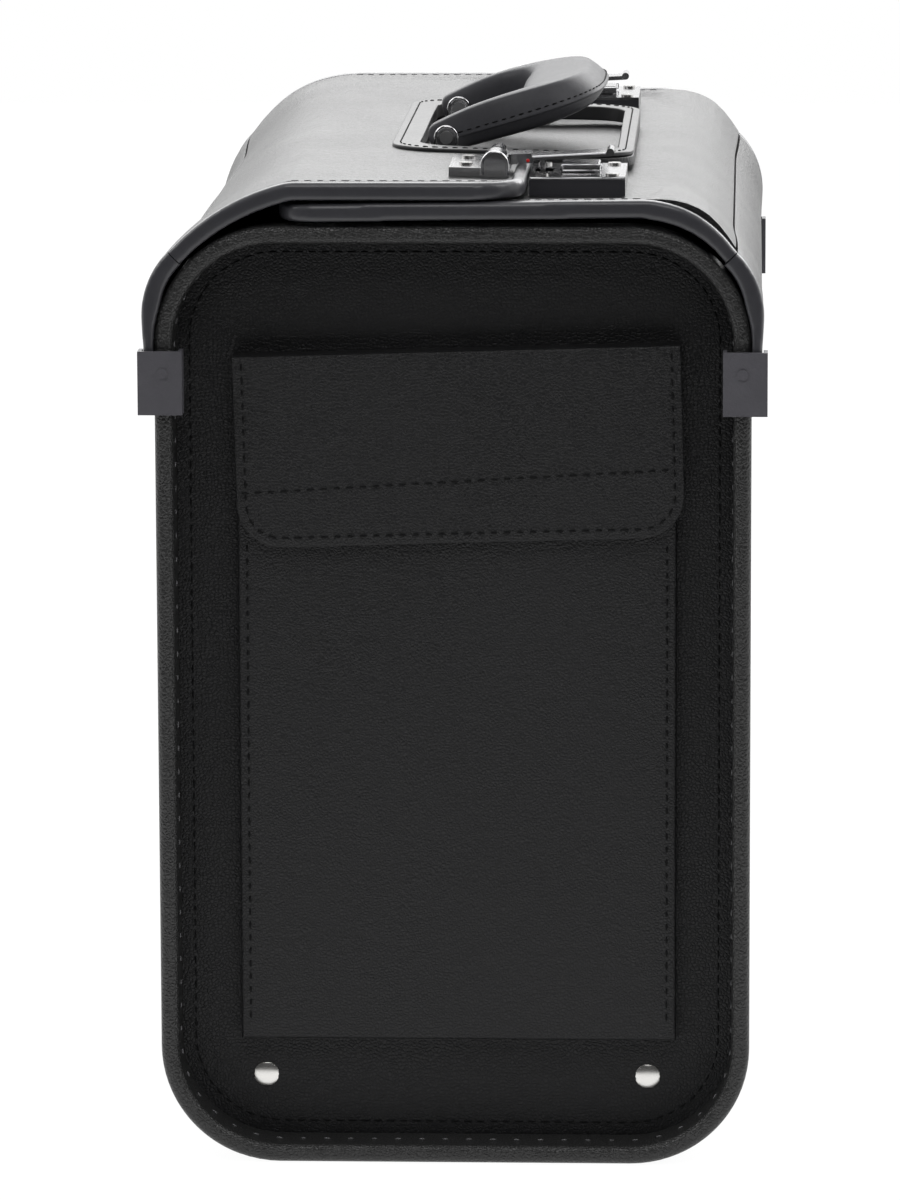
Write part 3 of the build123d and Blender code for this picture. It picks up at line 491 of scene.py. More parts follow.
@dataclass
class Studio:
    """The camera, the floor and the lights."""

    lens: float = 202.41
    sensor: float = 36.0
    place: tuple = (0.113, -2.768, 0.661)
    yaw: float = -2.57
    pitch: float = 9.78
    roll: float = -0.21
    floor_grey: float = 0.82
    floor_white: float = 1.07
    floor_share: float = 0.9
    floor_reach: float = 4.0
    floor_front: float = -1.0
    room_front: float = -0.55
    room_back: float = 0.15
    room_dark: float = 0.06
    room_bright: float = 1.22
    lamps: tuple = (
        ("left_box", (-1.7, -0.6, 1.7), (0.0, 0.0, 0.2), 1.1, 13.0),
        ("right_box", (1.8, -0.6, 1.8), (0.0, 0.0, 0.2), 1.1, 12.0),
        ("back_box", (0.1, 1.9, 1.5), (0.0, 0.0, 0.35), 1.6, 19.5),
        ("back_left_box", (-1.2, 1.7, 1.35), (0.0, 0.0, 0.35), 1.0, 9.0),
        ("back_right_box", (1.3, 1.7, 1.3), (0.0, 0.0, 0.35), 1.0, 17.0),
        ("front_box", (0.1, -1.7, 2.1), (0.0, -0.2, 0.2), 1.2, 14.0))

    def camera(self) -> None:
        """Set the camera as the photograph was taken."""
        yaw, pitch, roll = (math.radians(value) for value in (self.yaw, self.pitch, self.roll))
        data = bpy.data.cameras.new("camera")
        data.sensor_width = data.sensor_height = self.sensor
        data.sensor_fit = "VERTICAL"
        data.lens = self.lens
        data.clip_start = 0.05
        camera = in_scene("camera", data)
        turned = Matrix.Rotation(-yaw, 4, "Z") @ Matrix.Rotation(math.pi / 2 - pitch, 4, "X")
        camera.matrix_world = Matrix.Translation(self.place) @ turned @ Matrix.Rotation(roll, 4, "Z")
        bpy.context.scene.camera = camera

    def floor(self) -> None:
        """Lay a pale floor, white to the camera."""
        mesh = bpy.data.meshes.new("floor")
        reach, front = self.floor_reach, self.floor_front
        corners = [(-reach, front, 0), (reach, front, 0), (reach, reach, 0), (-reach, reach, 0)]
        mesh.from_pydata(corners, [], [(0, 1, 2, 3)])
        shader = Shader("floor")
        shader.set("Base Color", tinted(WHITE, self.floor_grey))
        shader.set("Roughness", 0.7)
        shader.set("Specular IOR Level", 0.1)
        seen = shader.node("ShaderNodeLightPath", {}, {}, "Is Camera Ray")
        paths = seen + seen.also("Is Glossy Ray") + seen.also("Is Transmission Ray")
        white = shader.node("ShaderNodeEmission", {}, {"Color": WHITE, "Strength": self.floor_white})
        both = shader.node("ShaderNodeMixShader", {}, {
            0: paths * self.floor_share, 1: shader.shaded, 2: white})
        shader.show(both)
        mesh.materials.append(shader.material)
        in_scene("floor", mesh)

    def world(self) -> None:
        """Light the room softly, and show white behind the case."""
        world = bpy.data.worlds.new("studio")
        world.use_nodes = True
        bpy.context.scene.world = world
        nodes = Nodes(world.node_tree)
        heading = nodes.node("ShaderNodeTexCoord", {}, {}, "Generated")
        along = nodes.node("ShaderNodeSeparateXYZ", {}, {0: heading}, "Y")
        glow = nodes.node("ShaderNodeMapRange", {}, {
            "Value": along, "From Min": self.room_front, "From Max": self.room_back,
            "To Min": self.room_dark, "To Max": self.room_bright})
        room = nodes.node("ShaderNodeBackground", {}, {"Strength": glow})
        white = nodes.node("ShaderNodeBackground", {}, {"Color": WHITE})
        seen = nodes.node("ShaderNodeLightPath", {}, {}, "Is Camera Ray")
        mixed = nodes.node("ShaderNodeMixShader", {}, {0: seen, 1: room, 2: white})
        nodes.node("ShaderNodeOutputWorld", {}, {"Surface": mixed})

    def lamp(self, name: str, place: tuple, aim: tuple, size: float, power: float) -> None:
        """Hang one square softbox.

        Args:
            name: The lamp's name.
            place: Where it hangs, in metres.
            aim: What it points at.
            size: Its side, in metres.
            power: Its power in watts.
        """
        data = bpy.data.lights.new(name, "AREA")
        data.shape = "SQUARE"
        data.size = size
        data.energy = power
        lamp = in_scene(name, data)
        lamp.location = place
        lamp.rotation_euler = (Vector(aim) - Vector(place)).to_track_quat("-Z", "Y").to_euler()

    def build(self) -> None:
        """Set up the whole studio."""
        self.camera()
        self.floor()
        self.world()
        for lamp in self.lamps:
            self.lamp(*lamp)


@dataclass
class CarriedNodes:
    """The CAD nodes whose shape is right, with a better finish and softened edges."""

    softened: tuple = (("lock_plate", 0.35), ("lock_slider", 0.45), ("lock_case", 0.4), ("hasp_base", 0.4),
                       ("hasp_arm", 0.35), ("handle_bracket", 0.5), ("flap_clips", 0.8))
    # The end panels' darker finish is painted shade of the recess.
    own_finish: tuple = (("clip_rivets", Finish.CLIP), ("front_end_panel", Finish.PANEL),
                         ("rear_end_panel", Finish.PANEL))

    def dress(self) -> None:
        """Give each node its own finish from the record's material slots."""
        slots = {part["node"]: part["material_slot"] for part in frame["record"]["subparts"]}
        widths, own = dict(self.softened), dict(self.own_finish)
        for name, node in NODES.items():
            finish = own.get(name, SLOT_FINISH[slots[name]])
            node.data.materials.clear()
            node.data.materials.append(finish.material())
            kind = name.split("_", 1)[-1]
            if kind in widths:
                edge = node.modifiers.new("soft_edge", "BEVEL")
                edge.width = widths[kind] * MM
                edge.segments = 2
                edge.limit_method = "ANGLE"
                edge.angle_limit = math.radians(35.0)
                even = node.modifiers.new("even_shading", "WEIGHTED_NORMAL")
                even.weight, even.keep_sharp = 100, False
            log.info("%s has the finish %s", name, finish.value.name)


class Sculpt:
    """Reshapes a welded copy of a CAD node's mesh."""

    def __init__(self, node: str) -> None:
        """Copy and weld a CAD node, and join the triangles of its flat faces."""
        self.node = node
        self.build = bmesh.new()
        self.build.from_mesh(NODES[node].data)
        bmesh.ops.remove_doubles(self.build, verts=self.build.verts, dist=1e-6)
        bmesh.ops.dissolve_limit(self.build, angle_limit=math.radians(0.6), verts=self.build.verts,
                                 edges=self.build.edges)

    def rounded(self, width: float, segments: int, angle: float = 40.0) -> "Sculpt":
        """Round the edges that are sharper than an angle.

        Args:
            width: How far the rounding reaches, in millimetres.
            segments: Its steps.
            angle: The least angle, in degrees.

        Returns:
            The same sculpt.
        """
        sharp = [edge for edge in self.build.edges
                 if len(edge.link_faces) == 2 and edge.calc_face_angle(0.0) > math.radians(angle)]
        bmesh.ops.bevel(self.build, geom=sharp, offset=width * MM, segments=segments, profile=0.5,
                        affect="EDGES", clamp_overlap=True)
        return self

    def sliced(self, across: Vector, step: float) -> "Sculpt":
        """Cut the faces at even steps, so that they can bend.

        Args:
            across: The direction of the steps.
            step: Their length, in millimetres.

        Returns:
            The same sculpt.
        """
        bmesh.ops.triangulate(self.build, faces=self.build.faces)
        reach = [vertex.co.dot(across) for vertex in self.build.verts]
        place = min(reach) + step * MM
        while place < max(reach):
            self._split(across * place, across, False)
            place += step * MM
        return self

    def _split(self, place: Vector, normal: Vector, clear: bool) -> list:
        """Split every face at a plane, clear what lies past it if asked, and return the line of the cut."""
        geometry = self.build.verts[:] + self.build.edges[:] + self.build.faces[:]
        made = bmesh.ops.bisect_plane(self.build, geom=geometry, plane_co=place, plane_no=normal,
                                      clear_outer=clear)
        return [item for item in made["geom_cut"] if isinstance(item, bmesh.types.BMEdge)]

    def moved(self, shift: object) -> "Sculpt":
        """Move every point.

        Args:
            shift: A function from a point to its displacement, both in millimetres.

        Returns:
            The same sculpt.
        """
        for vertex in self.build.verts:
            vertex.co += shift(vertex.co / MM) * MM
        return self

    def softened(self, voxel: float, passes: int, swell: float) -> "Sculpt":
        """Remesh the copy evenly and wear its edges round, as vinyl rolled over a core is.

        Args:
            voxel: The new faces' size, in millimetres.
            passes: How many times it is smoothed.
            swell: How far it is pushed out again, in millimetres.

        Returns:
            The same sculpt.
        """
        mesh = bpy.data.meshes.new(self.node + "_soft")
        self.build.to_mesh(mesh)
        holder = in_scene(self.node + "_soft", mesh)
        remesh = holder.modifiers.new("remesh", "REMESH")
        remesh.mode, remesh.voxel_size = "VOXEL", voxel * MM
        smooth = holder.modifiers.new("smooth", "SMOOTH")
        smooth.factor, smooth.iterations = 0.5, passes
        push = holder.modifiers.new("push", "DISPLACE")
        push.mid_level, push.strength = 0.0, swell * MM
        self.build.clear()
        self.build.from_mesh(result_of(holder))
        return self

    def cut(self, place: Vector, outward: Vector) -> "Sculpt":
        """Cut off what lies past a plane and close the cut.

        Args:
            place: A point on the plane, in millimetres.
            outward: The side that is removed.

        Returns:
            The same sculpt.
        """
        bmesh.ops.holes_fill(self.build, edges=self._split(place * MM, outward, True))
        return self

    def piece(self, name: str, finish: Finish, body: str, even: bool = False) -> bpy.types.Object:
        """Finish the copy as a piece that replaces its node.

        Args:
            name: The piece's name.
            finish: Its finish.
            body: The body it rides on.
            even: Whether large flat faces keep a flat shade beside rounded edges.

        Returns:
            The new object.
        """
        mesh = bpy.data.meshes.new(name)
        bmesh.ops.triangulate(self.build, faces=self.build.faces)
        self.build.to_mesh(mesh)
        self.build.free()
        piece = new_piece(name, mesh, finish, body, self.node)
        mesh.set_sharp_from_angle(angle=math.radians(38.0))
        if even:
            even_shading(mesh)
        return piece


class LineNodes(Nodes):
    """A Geometry Nodes group that lays geometry along lines of points."""

    def __init__(self, name: str, inputs: dict) -> None:
        """Start the group.

        Args:
            name: The group's name.
            inputs: Its inputs' kinds by name, after the lines. One is named Material.
        """
        group = bpy.data.node_groups.new(name, "GeometryNodeTree")
        super().__init__(group)
        face = group.interface
        face.new_socket("Geometry", in_out="INPUT", socket_type="NodeSocketGeometry")
        self.sockets = {
            label: face.new_socket(label, in_out="INPUT", socket_type=f"NodeSocket{kind}").identifier
            for label, kind in inputs.items()}
        face.new_socket("Geometry", in_out="OUTPUT", socket_type="NodeSocketGeometry")
        self.given = self.node("NodeGroupInput", {}, {}, "Geometry")
        self.curve = self.node("GeometryNodeMeshToCurve", {}, {0: self.given})

    def close(self, geometry: Link) -> None:
        """Make what was laid real, in the given material, and put it out."""
        real = self.node("GeometryNodeRealizeInstances", {}, {0: geometry})
        clad = self.node("GeometryNodeSetMaterial", {}, {0: real, "Material": self.given.also("Material")})
        self.node("NodeGroupOutput", {}, {0: clad})

    def run(self, name: str, lines: list[list[tuple]], values: dict) -> bpy.types.Mesh:
        """Run the group on lines of points.

        Args:
            name: The new mesh's name.
            lines: Lines of points, in millimetres.
            values: The inputs' values by name.

        Returns:
            The result as a plain mesh.
        """
        points, edges = [], []
        for line in lines:
            start = len(points)
            points += [tuple(value * MM for value in point) for point in line]
            edges += [(start + index, start + index + 1) for index in range(len(line) - 1)]
        path = bpy.data.meshes.new(name + "_path")
        path.from_pydata(points, edges, [])
        holder = in_scene(name + "_path", path)
        making = holder.modifiers.new("making", "NODES")
        making.node_group = self.tree
        for label, value in values.items():
            making[self.sockets[label]] = value
        mesh = result_of(holder)
        mesh.name = name
        return mesh


class Stitching:
    """Rows of thread along lines, one stretched bead for each stitch."""

    slack = (0.85, 1.15)
    seed = 7

    def __init__(self) -> None:
        """Build the node group that lays the beads."""
        nodes = LineNodes("stitch_row", {
            "Pitch": "Float", "Length": "Float", "Radius": "Float", "Seed": "Int", "Material": "Material"})
        given = nodes.given
        even = nodes.node("GeometryNodeResampleCurve", {"mode": "LENGTH"}, {
            0: nodes.curve, "Length": given.also("Pitch")})
        points = nodes.node("GeometryNodeCurveToPoints", {"mode": "EVALUATED"}, {0: even}, "Points")
        bead = nodes.node("GeometryNodeMeshUVSphere", {}, {"Segments": 6, "Rings": 4, "Radius": 1.0})
        share = nodes.node("FunctionNodeRandomValue", {"data_type": "FLOAT"}, {
            2: self.slack[0], 3: self.slack[1], "Seed": given.also("Seed")}, 1)
        radius, length = given.also("Radius"), given.also("Length") * share
        size = nodes.node("ShaderNodeCombineXYZ", {}, {0: radius, 1: radius, 2: length})
        nodes.close(nodes.node("GeometryNodeInstanceOnPoints", {}, {
            "Points": points, "Instance": bead, "Rotation": points.also("Rotation"), "Scale": size}))
        self.nodes = nodes

    def row(self, name: str, lines: list[list[tuple]], body: str, seam: Seam) -> None:
        """Sew one row of stitches.

        Args:
            name: The piece's name.
            lines: Lines of points, in millimetres.
            body: The body it rides on.
            seam: The kind of seam.
        """
        pitch, length, radius, finish = seam.value
        mesh = self.nodes.run(name, lines, {
            "Pitch": pitch * MM, "Length": length * MM / 2, "Radius": radius * MM, "Seed": self.seed,
            "Material": finish.material()})
        new_piece(name, mesh, finish, body)


def rounded_line(width: float, height: float, radius: float, centre: tuple, y: float) -> list[tuple]:
    """Points round an upright rounded rectangle.

    Args:
        width: Its width in X.
        height: Its height in Z.
        radius: Its corners' radius.
        centre: X and Z of its middle.
        y: Its place along the case.

    Returns:
        A closed line of points, in millimetres.
    """
    points = []
    for turn, (sx, sz) in enumerate(((1, 1), (-1, 1), (-1, -1), (1, -1))):
        corner = (centre[0] + sx * (width / 2 - radius), centre[1] + sz * (height / 2 - radius))
        for step in range(9):
            angle = math.radians(90 * turn + 90 * step / 8)
            points.append((corner[0] + radius * math.cos(angle), y, corner[1] + radius * math.sin(angle)))
    return points + points[:1]


@dataclass
class CaseEnds:
    """The set-back ends, their rolled rims, their rivets and their seams."""

    stitching: Stitching
    width: float = 228.0
    height: float = 366.0
    corner: float = 46.0
    seam_inset: float = 12.2
    wall_inset: float = 7.0
    rivet_seat: float = 205.0
    rivet_rise: float = 0.38
    panel_face: float = 205.15
    wall_end: float = 214.0

    def line(self, inset: float, y: float) -> list[tuple]:
        """Return the case's outline, drawn in and put at a place along the case."""
        return rounded_line(self.width - 2 * inset, self.height - 2 * inset, self.corner - inset,
                            (0.0, self.height / 2), y)

    def flatter(self, point: Vector) -> Vector:
        """Return how far a point of a rivet's head moves towards the panel, in millimetres."""
        proud = max(0.0, abs(point.y) - self.rivet_seat)
        return Vector((0.0, -math.copysign(proud * (1.0 - self.rivet_rise), point.y), 0.0))

    def dress(self) -> None:
        """Give the domed rivets their low heads, and sew the seams of both ends."""
        for end in ENDS:
            heads = Sculpt(f"{end}_panel_rivets").moved(self.flatter)
            heads.piece(f"{end}_domed_rivets", Finish.DOME, "root")
        for end, side in zip(ENDS, (-1, 1)):
            panel = self.line(self.seam_inset, side * self.panel_face)
            rim = self.line(self.wall_inset, side * self.wall_end)
            self.stitching.row(f"{end}_panel_seam", [panel], "root", Seam.PANEL)
            self.stitching.row(f"{end}_rim_seam", [rim], "root", Seam.RIM)


@dataclass
class Shoulders:
    """How the vinyl of the flaps and hinge strips bulges and sinks between the kinks and the folds.

    Folds and kinks are given by X and Z. The sinking fades over calm in Y, heights in Z and widths in X.
    """

    left_sink: float = 4.0
    right_sink: float = 2.0
    ripple: float = 0.3
    fold: tuple = (108.5, 355.5)
    left_kink: tuple = (62.4, 382.4)
    right_kink: tuple = (74.4, 374.5)
    near_bulge: float = 1.4
    far_bulge: float = 4.0
    right_bulge: float = 2.8
    outer_slope: float = 1.7
    inner_slope: float = 0.74
    inner_rise: float = 2.7
    length: float = 438.0
    calm: tuple = (120.0, 205.0)
    heights: tuple = (316.0, 352.0)
    widths: tuple = (66.0, 104.0)
    waves: tuple = (23.0, 31.0)
    inward: float = 0.7
    downward: float = 0.55
    climb_start: float = 203.0
    climb_reach: float = 85.0

    def bulge(self, point: Vector) -> Vector:
        """Return how far a shoulder stands proud of its straight line at a point, in millimetres."""
        left = point.x < 0
        kink = self.left_kink if left else self.right_kink
        run = Vector((self.fold[0] - kink[0], self.fold[1] - kink[1]))
        share = min(1.0, max(0.0, (abs(point.x) - kink[0]) / run.x))
        end = smooth_step(-self.length / 2, self.length / 2, point.y)
        height = self.near_bulge + (self.far_bulge - self.near_bulge) * end if left else self.right_bulge
        outward = Vector((-run.y, run.x)).normalized() * height * math.sin(math.pi * share)
        return Vector((-outward.x if left else outward.x, 0.0, outward.y))

    def sink(self, point: Vector) -> Vector:
        """Return how far the vinyl moves at a point, in millimetres."""
        left = point.x < 0
        reach = self.left_sink if left else self.right_sink
        middle = 1.0 - smooth_step(*self.calm, abs(point.y))
        share = middle * smooth_step(*self.heights, point.z) * smooth_step(*self.widths, abs(point.x))
        wave = self.ripple * math.sin(point.y / self.waves[0] + point.x / self.waves[1]) * middle
        side = 1.0 if left else -1.0
        move = Vector((side * reach * share * self.inward, 0.0, wave - reach * share * self.downward))
        return move + self.bulge(point)

    def sink_outer(self, point: Vector) -> Vector:
        """Return the outer flap's move, which also climbs to its binding."""
        climb = max(0.0, point.x + self.left_kink[0]) * math.tan(math.radians(self.outer_slope))
        return self.sink(point) + Vector((0.0, 0.0, climb * smooth_step(200.0, 213.0, abs(point.y))))

    def sink_inner(self, point: Vector) -> Vector:
        """Return the inner flap's move, which also climbs to its binding."""
        kink = self.right_kink[0]
        climb = self.inner_rise - max(0.0, kink - point.x) * math.tan(math.radians(self.inner_slope))
        fade = 1.0 - smooth_step(kink + 20.0, self.fold[0] + 6.0, point.x)
        start = self.climb_start - self.climb_reach * smooth_step(kink - 5.0, kink + 10.0, point.x)
        return self.sink(point) + Vector((0.0, 0.0, climb * fade * smooth_step(start, 214.0, abs(point.y))))

    def dress(self) -> None:
        """Replace the flap panels and hinge strips with sunken vinyl."""
        along, across = Vector((0, 1, 0)), Vector((1, 0, 0))
        for node, name, body, move in (
                ("outer_flap_panel", "outer_flap_skin", "outer_flap", self.sink_outer),
                ("inner_flap_panel", "inner_flap_skin", "inner_flap", self.sink_inner),
                ("left_hinge_strip", "left_hinge_skin", "root", self.sink),
                ("right_hinge_strip", "right_hinge_skin", "root", self.sink)):
            shape = Sculpt(node).rounded(0.5, 2).sliced(along, 7.0).sliced(across, 6.0)
            shape.moved(move).piece(name, Finish.VINYL, body)


@dataclass
class Piping:
    """The rolled bindings of the flaps and strips, which all but meet at the folds."""

    shoulders: Shoulders
    voxel: float = 0.9
    passes: int = 22
    swell: float = 0.3
    spare: float = 4.0
    flap_end: float = 0.75
    strip_end: float = 0.45
    end_zone: tuple = (-0.4, 1.6)

    def past_fold(self, point: Vector) -> float:
        """Return how far a point lies past the fold, towards the flap, in millimetres."""
        fold = self.shoulders.fold
        return (fold[0] - abs(point.x) + point.z - fold[1]) / math.sqrt(2)

    def lengthened(self, point: Vector, flap: bool) -> Vector:
        """Return how far a binding's end moves past the fold before it is cut.

        Args:
            point: The point, in millimetres.
            flap: Whether the binding is a flap's.

        Returns:
            Its displacement, in millimetres.
        """
        if not self.end_zone[0] < self.past_fold(point) < self.end_zone[1]:
            return Vector((0.0, 0.0, 0.0))
        step = -self.spare if flap else self.spare
        return Vector((math.copysign(1.0, -point.x), 0.0, 1.0)).normalized() * step

    def dress(self) -> None:
        """Replace the square bindings with rolled ones."""
        fold = self.shoulders.fold
        for node, body, side in (("outer_flap_binding", "outer_flap", -1),
                                 ("inner_flap_binding", "inner_flap", 1),
                                 ("left_strip_bindings", "root", -1),
                                 ("right_strip_bindings", "root", 1)):
            flap = body != "root"
            shape = Sculpt(node).moved(lambda point, flap=flap: self.lengthened(point, flap))
            shape.softened(self.voxel, self.passes, self.swell)
            along = Vector((-side, 0.0, 1.0)).normalized()
            end = along * (self.flap_end if flap else self.strip_end)
            shape.cut(Vector((side * fold[0], 0.0, fold[1])) + end, -along if flap else along)
            if flap:
                shape.moved(self.shoulders.bulge)
            shape.piece(node.replace("binding", "piping"), Finish.PIPING, body)


@dataclass
class Pocket:
    """The pouch on the near end and its flap, with their seams.

    The slant seam is given by its left end's X and Z, its length and its rise.
    """

    stitching: Stitching
    puff: float = 0.9
    puff_start: float = -211.0
    puff_sides: tuple = (84.0, 50.0)
    puff_low: tuple = (46.0, 90.0)
    waves: tuple = (19.0, 37.0)
    curl: float = 0.9
    curl_heights: tuple = (300.0, 244.0)
    front: float = -212.95
    seam_sides: tuple = (-79.8, 81.8)
    flap_front: float = -217.3
    flap_middle: float = 1.0
    flap_half: float = 86.0
    flap_top: float = 317.0
    flap_low: float = 243.0
    flap_corner: float = 17.0
    flap_tilt: float = 1.6
    edge_inset: float = 3.7
    seam_stop: float = 4.0
    slant: tuple = (-80.3, 262.1, 168.9, 9.8)

    def pouch_shape(self, point: Vector) -> Vector:
        """Return how the pouch's face swells at a point, in millimetres."""
        if point.y >= self.puff_start:
            return Vector()
        share = smooth_step(*self.puff_sides, abs(point.x - self.flap_middle))
        share *= smooth_step(*self.puff_low, point.z)
        ripple = 0.5 + 0.5 * math.sin(point.x / self.waves[0]) * math.sin(point.z / self.waves[1])
        return Vector((0.0, -self.puff * share * ripple, 0.0))

    def flap_shape(self, point: Vector) -> Vector:
        """Return how the flap curls at a point, in millimetres."""
        low = smooth_step(*self.curl_heights, point.z)
        return Vector((0.0, -self.curl * low * (0.4 + 0.6 * abs(point.x) / self.flap_half), 0.0))

    def dress(self) -> None:
        """Replace the pouch and flap, and sew them."""
        across, upward = Vector((1, 0, 0)), Vector((0, 0, 1))
        pouch = Sculpt("pocket_body").rounded(0.6, 2).sliced(across, 9.0).sliced(upward, 12.0)
        pouch.moved(self.pouch_shape).piece("pocket_pouch", Finish.POCKET, "root")
        flap = Sculpt("pocket_flap").rounded(0.7, 3).sliced(across, 9.0).sliced(upward, 9.0)
        flap.moved(self.flap_shape).piece("pocket_flap_skin", Finish.POCKET, "pocket_flap")
        sides = [[(x, self.front, z) for z in range(240, 48, -8)] for x in self.seam_sides]
        self.stitching.row("pocket_side_seams", sides, "root", Seam.POCKET)
        edge = [self._on_flap(x, z) for x, z in self._flap_edge()]
        left, low, length, rise = self.slant
        seam = [self._on_flap(x, low + (x - left) * rise / length) for x in range(-80, 88, 7)]
        self.stitching.row("pocket_flap_seams", [edge, seam], "pocket_flap", Seam.POCKET_FLAP)

    def _on_flap(self, x: float, z: float) -> tuple:
        """Return a place on the flap's face for an X and Z."""
        point = Vector((x, self.flap_front, z))
        return tuple(point + self.flap_shape(point))

    def _flap_edge(self) -> list[tuple]:
        """Return the flap's seam inside its edge, from its upper left round to its upper right."""
        tilt, top = math.radians(self.flap_tilt), self.flap_top
        half, low = self.flap_half - self.edge_inset, self.flap_low + self.edge_inset
        corners = rounded_line(2 * half, top - low, self.flap_corner - self.edge_inset,
                               (0.0, (top + low) / 2), self.flap_front)[18:36]
        drop = -self.seam_stop
        flat = [(-half, drop)] + [(x, z - top) for x, _, z in corners] + [(half, drop)]
        return [(self.flap_middle + x * math.cos(tilt) - up * math.sin(tilt),
                 top + x * math.sin(tilt) + up * math.cos(tilt)) for x, up in flat]


@dataclass
class TopTrim:
    """The stitched slot frame and the seams on the top."""

    stitching: Stitching
    shoulders: Shoulders
    frame_left: float = -30.0
    frame_right: float = 66.5
    frame_half: float = 100.0
    frame_corner: float = 16.8
    frame_rise: float = 1.92
    seam: float = 3.2
    binding_face: float = 216.6
    outer_seam: float = 382.5
    inner_seam: float = 375.8

    def top(self, x: float) -> float:
        """Return the height of the slot frame's seam at an X, in millimetres."""
        left, height = self.shoulders.left_kink
        return height - (x + left) * math.tan(math.radians(self.shoulders.outer_slope)) + self.frame_rise

    def dress(self) -> None:
        """Replace the frame, and sew the top."""
        Sculpt("slot_frame").rounded(0.6, 3).piece("slot_frame_leather", Finish.FRAME, "outer_flap", True)
        left, right = self.frame_left + self.seam, self.frame_right - self.seam
        half = self.frame_half - self.seam
        outline = rounded_line(right - left, 2 * half, self.frame_corner, ((left + right) / 2, 0.0), 0.0)
        ring = [(x, z, self.top(x)) for x, _, z in outline]
        self.stitching.row("slot_frame_seam", [ring], "outer_flap", Seam.SLOT)
        slope = math.tan(math.radians(self.shoulders.inner_slope))
        kink = self.shoulders.right_kink[0]
        for side, end in zip((-1, 1), ENDS):
            face = side * self.binding_face
            outer = [(x, face, self.outer_seam) for x in range(-60, 13, 6)]
            inner = [(x, face, self.inner_seam - (kink - x) * slope) for x in range(-56, 72, 6)]
            self.stitching.row(f"{end}_outer_flap_seam", [outer], "outer_flap", Seam.FLAP)
            self.stitching.row(f"{end}_inner_flap_seam", [inner], "inner_flap", Seam.FLAP)


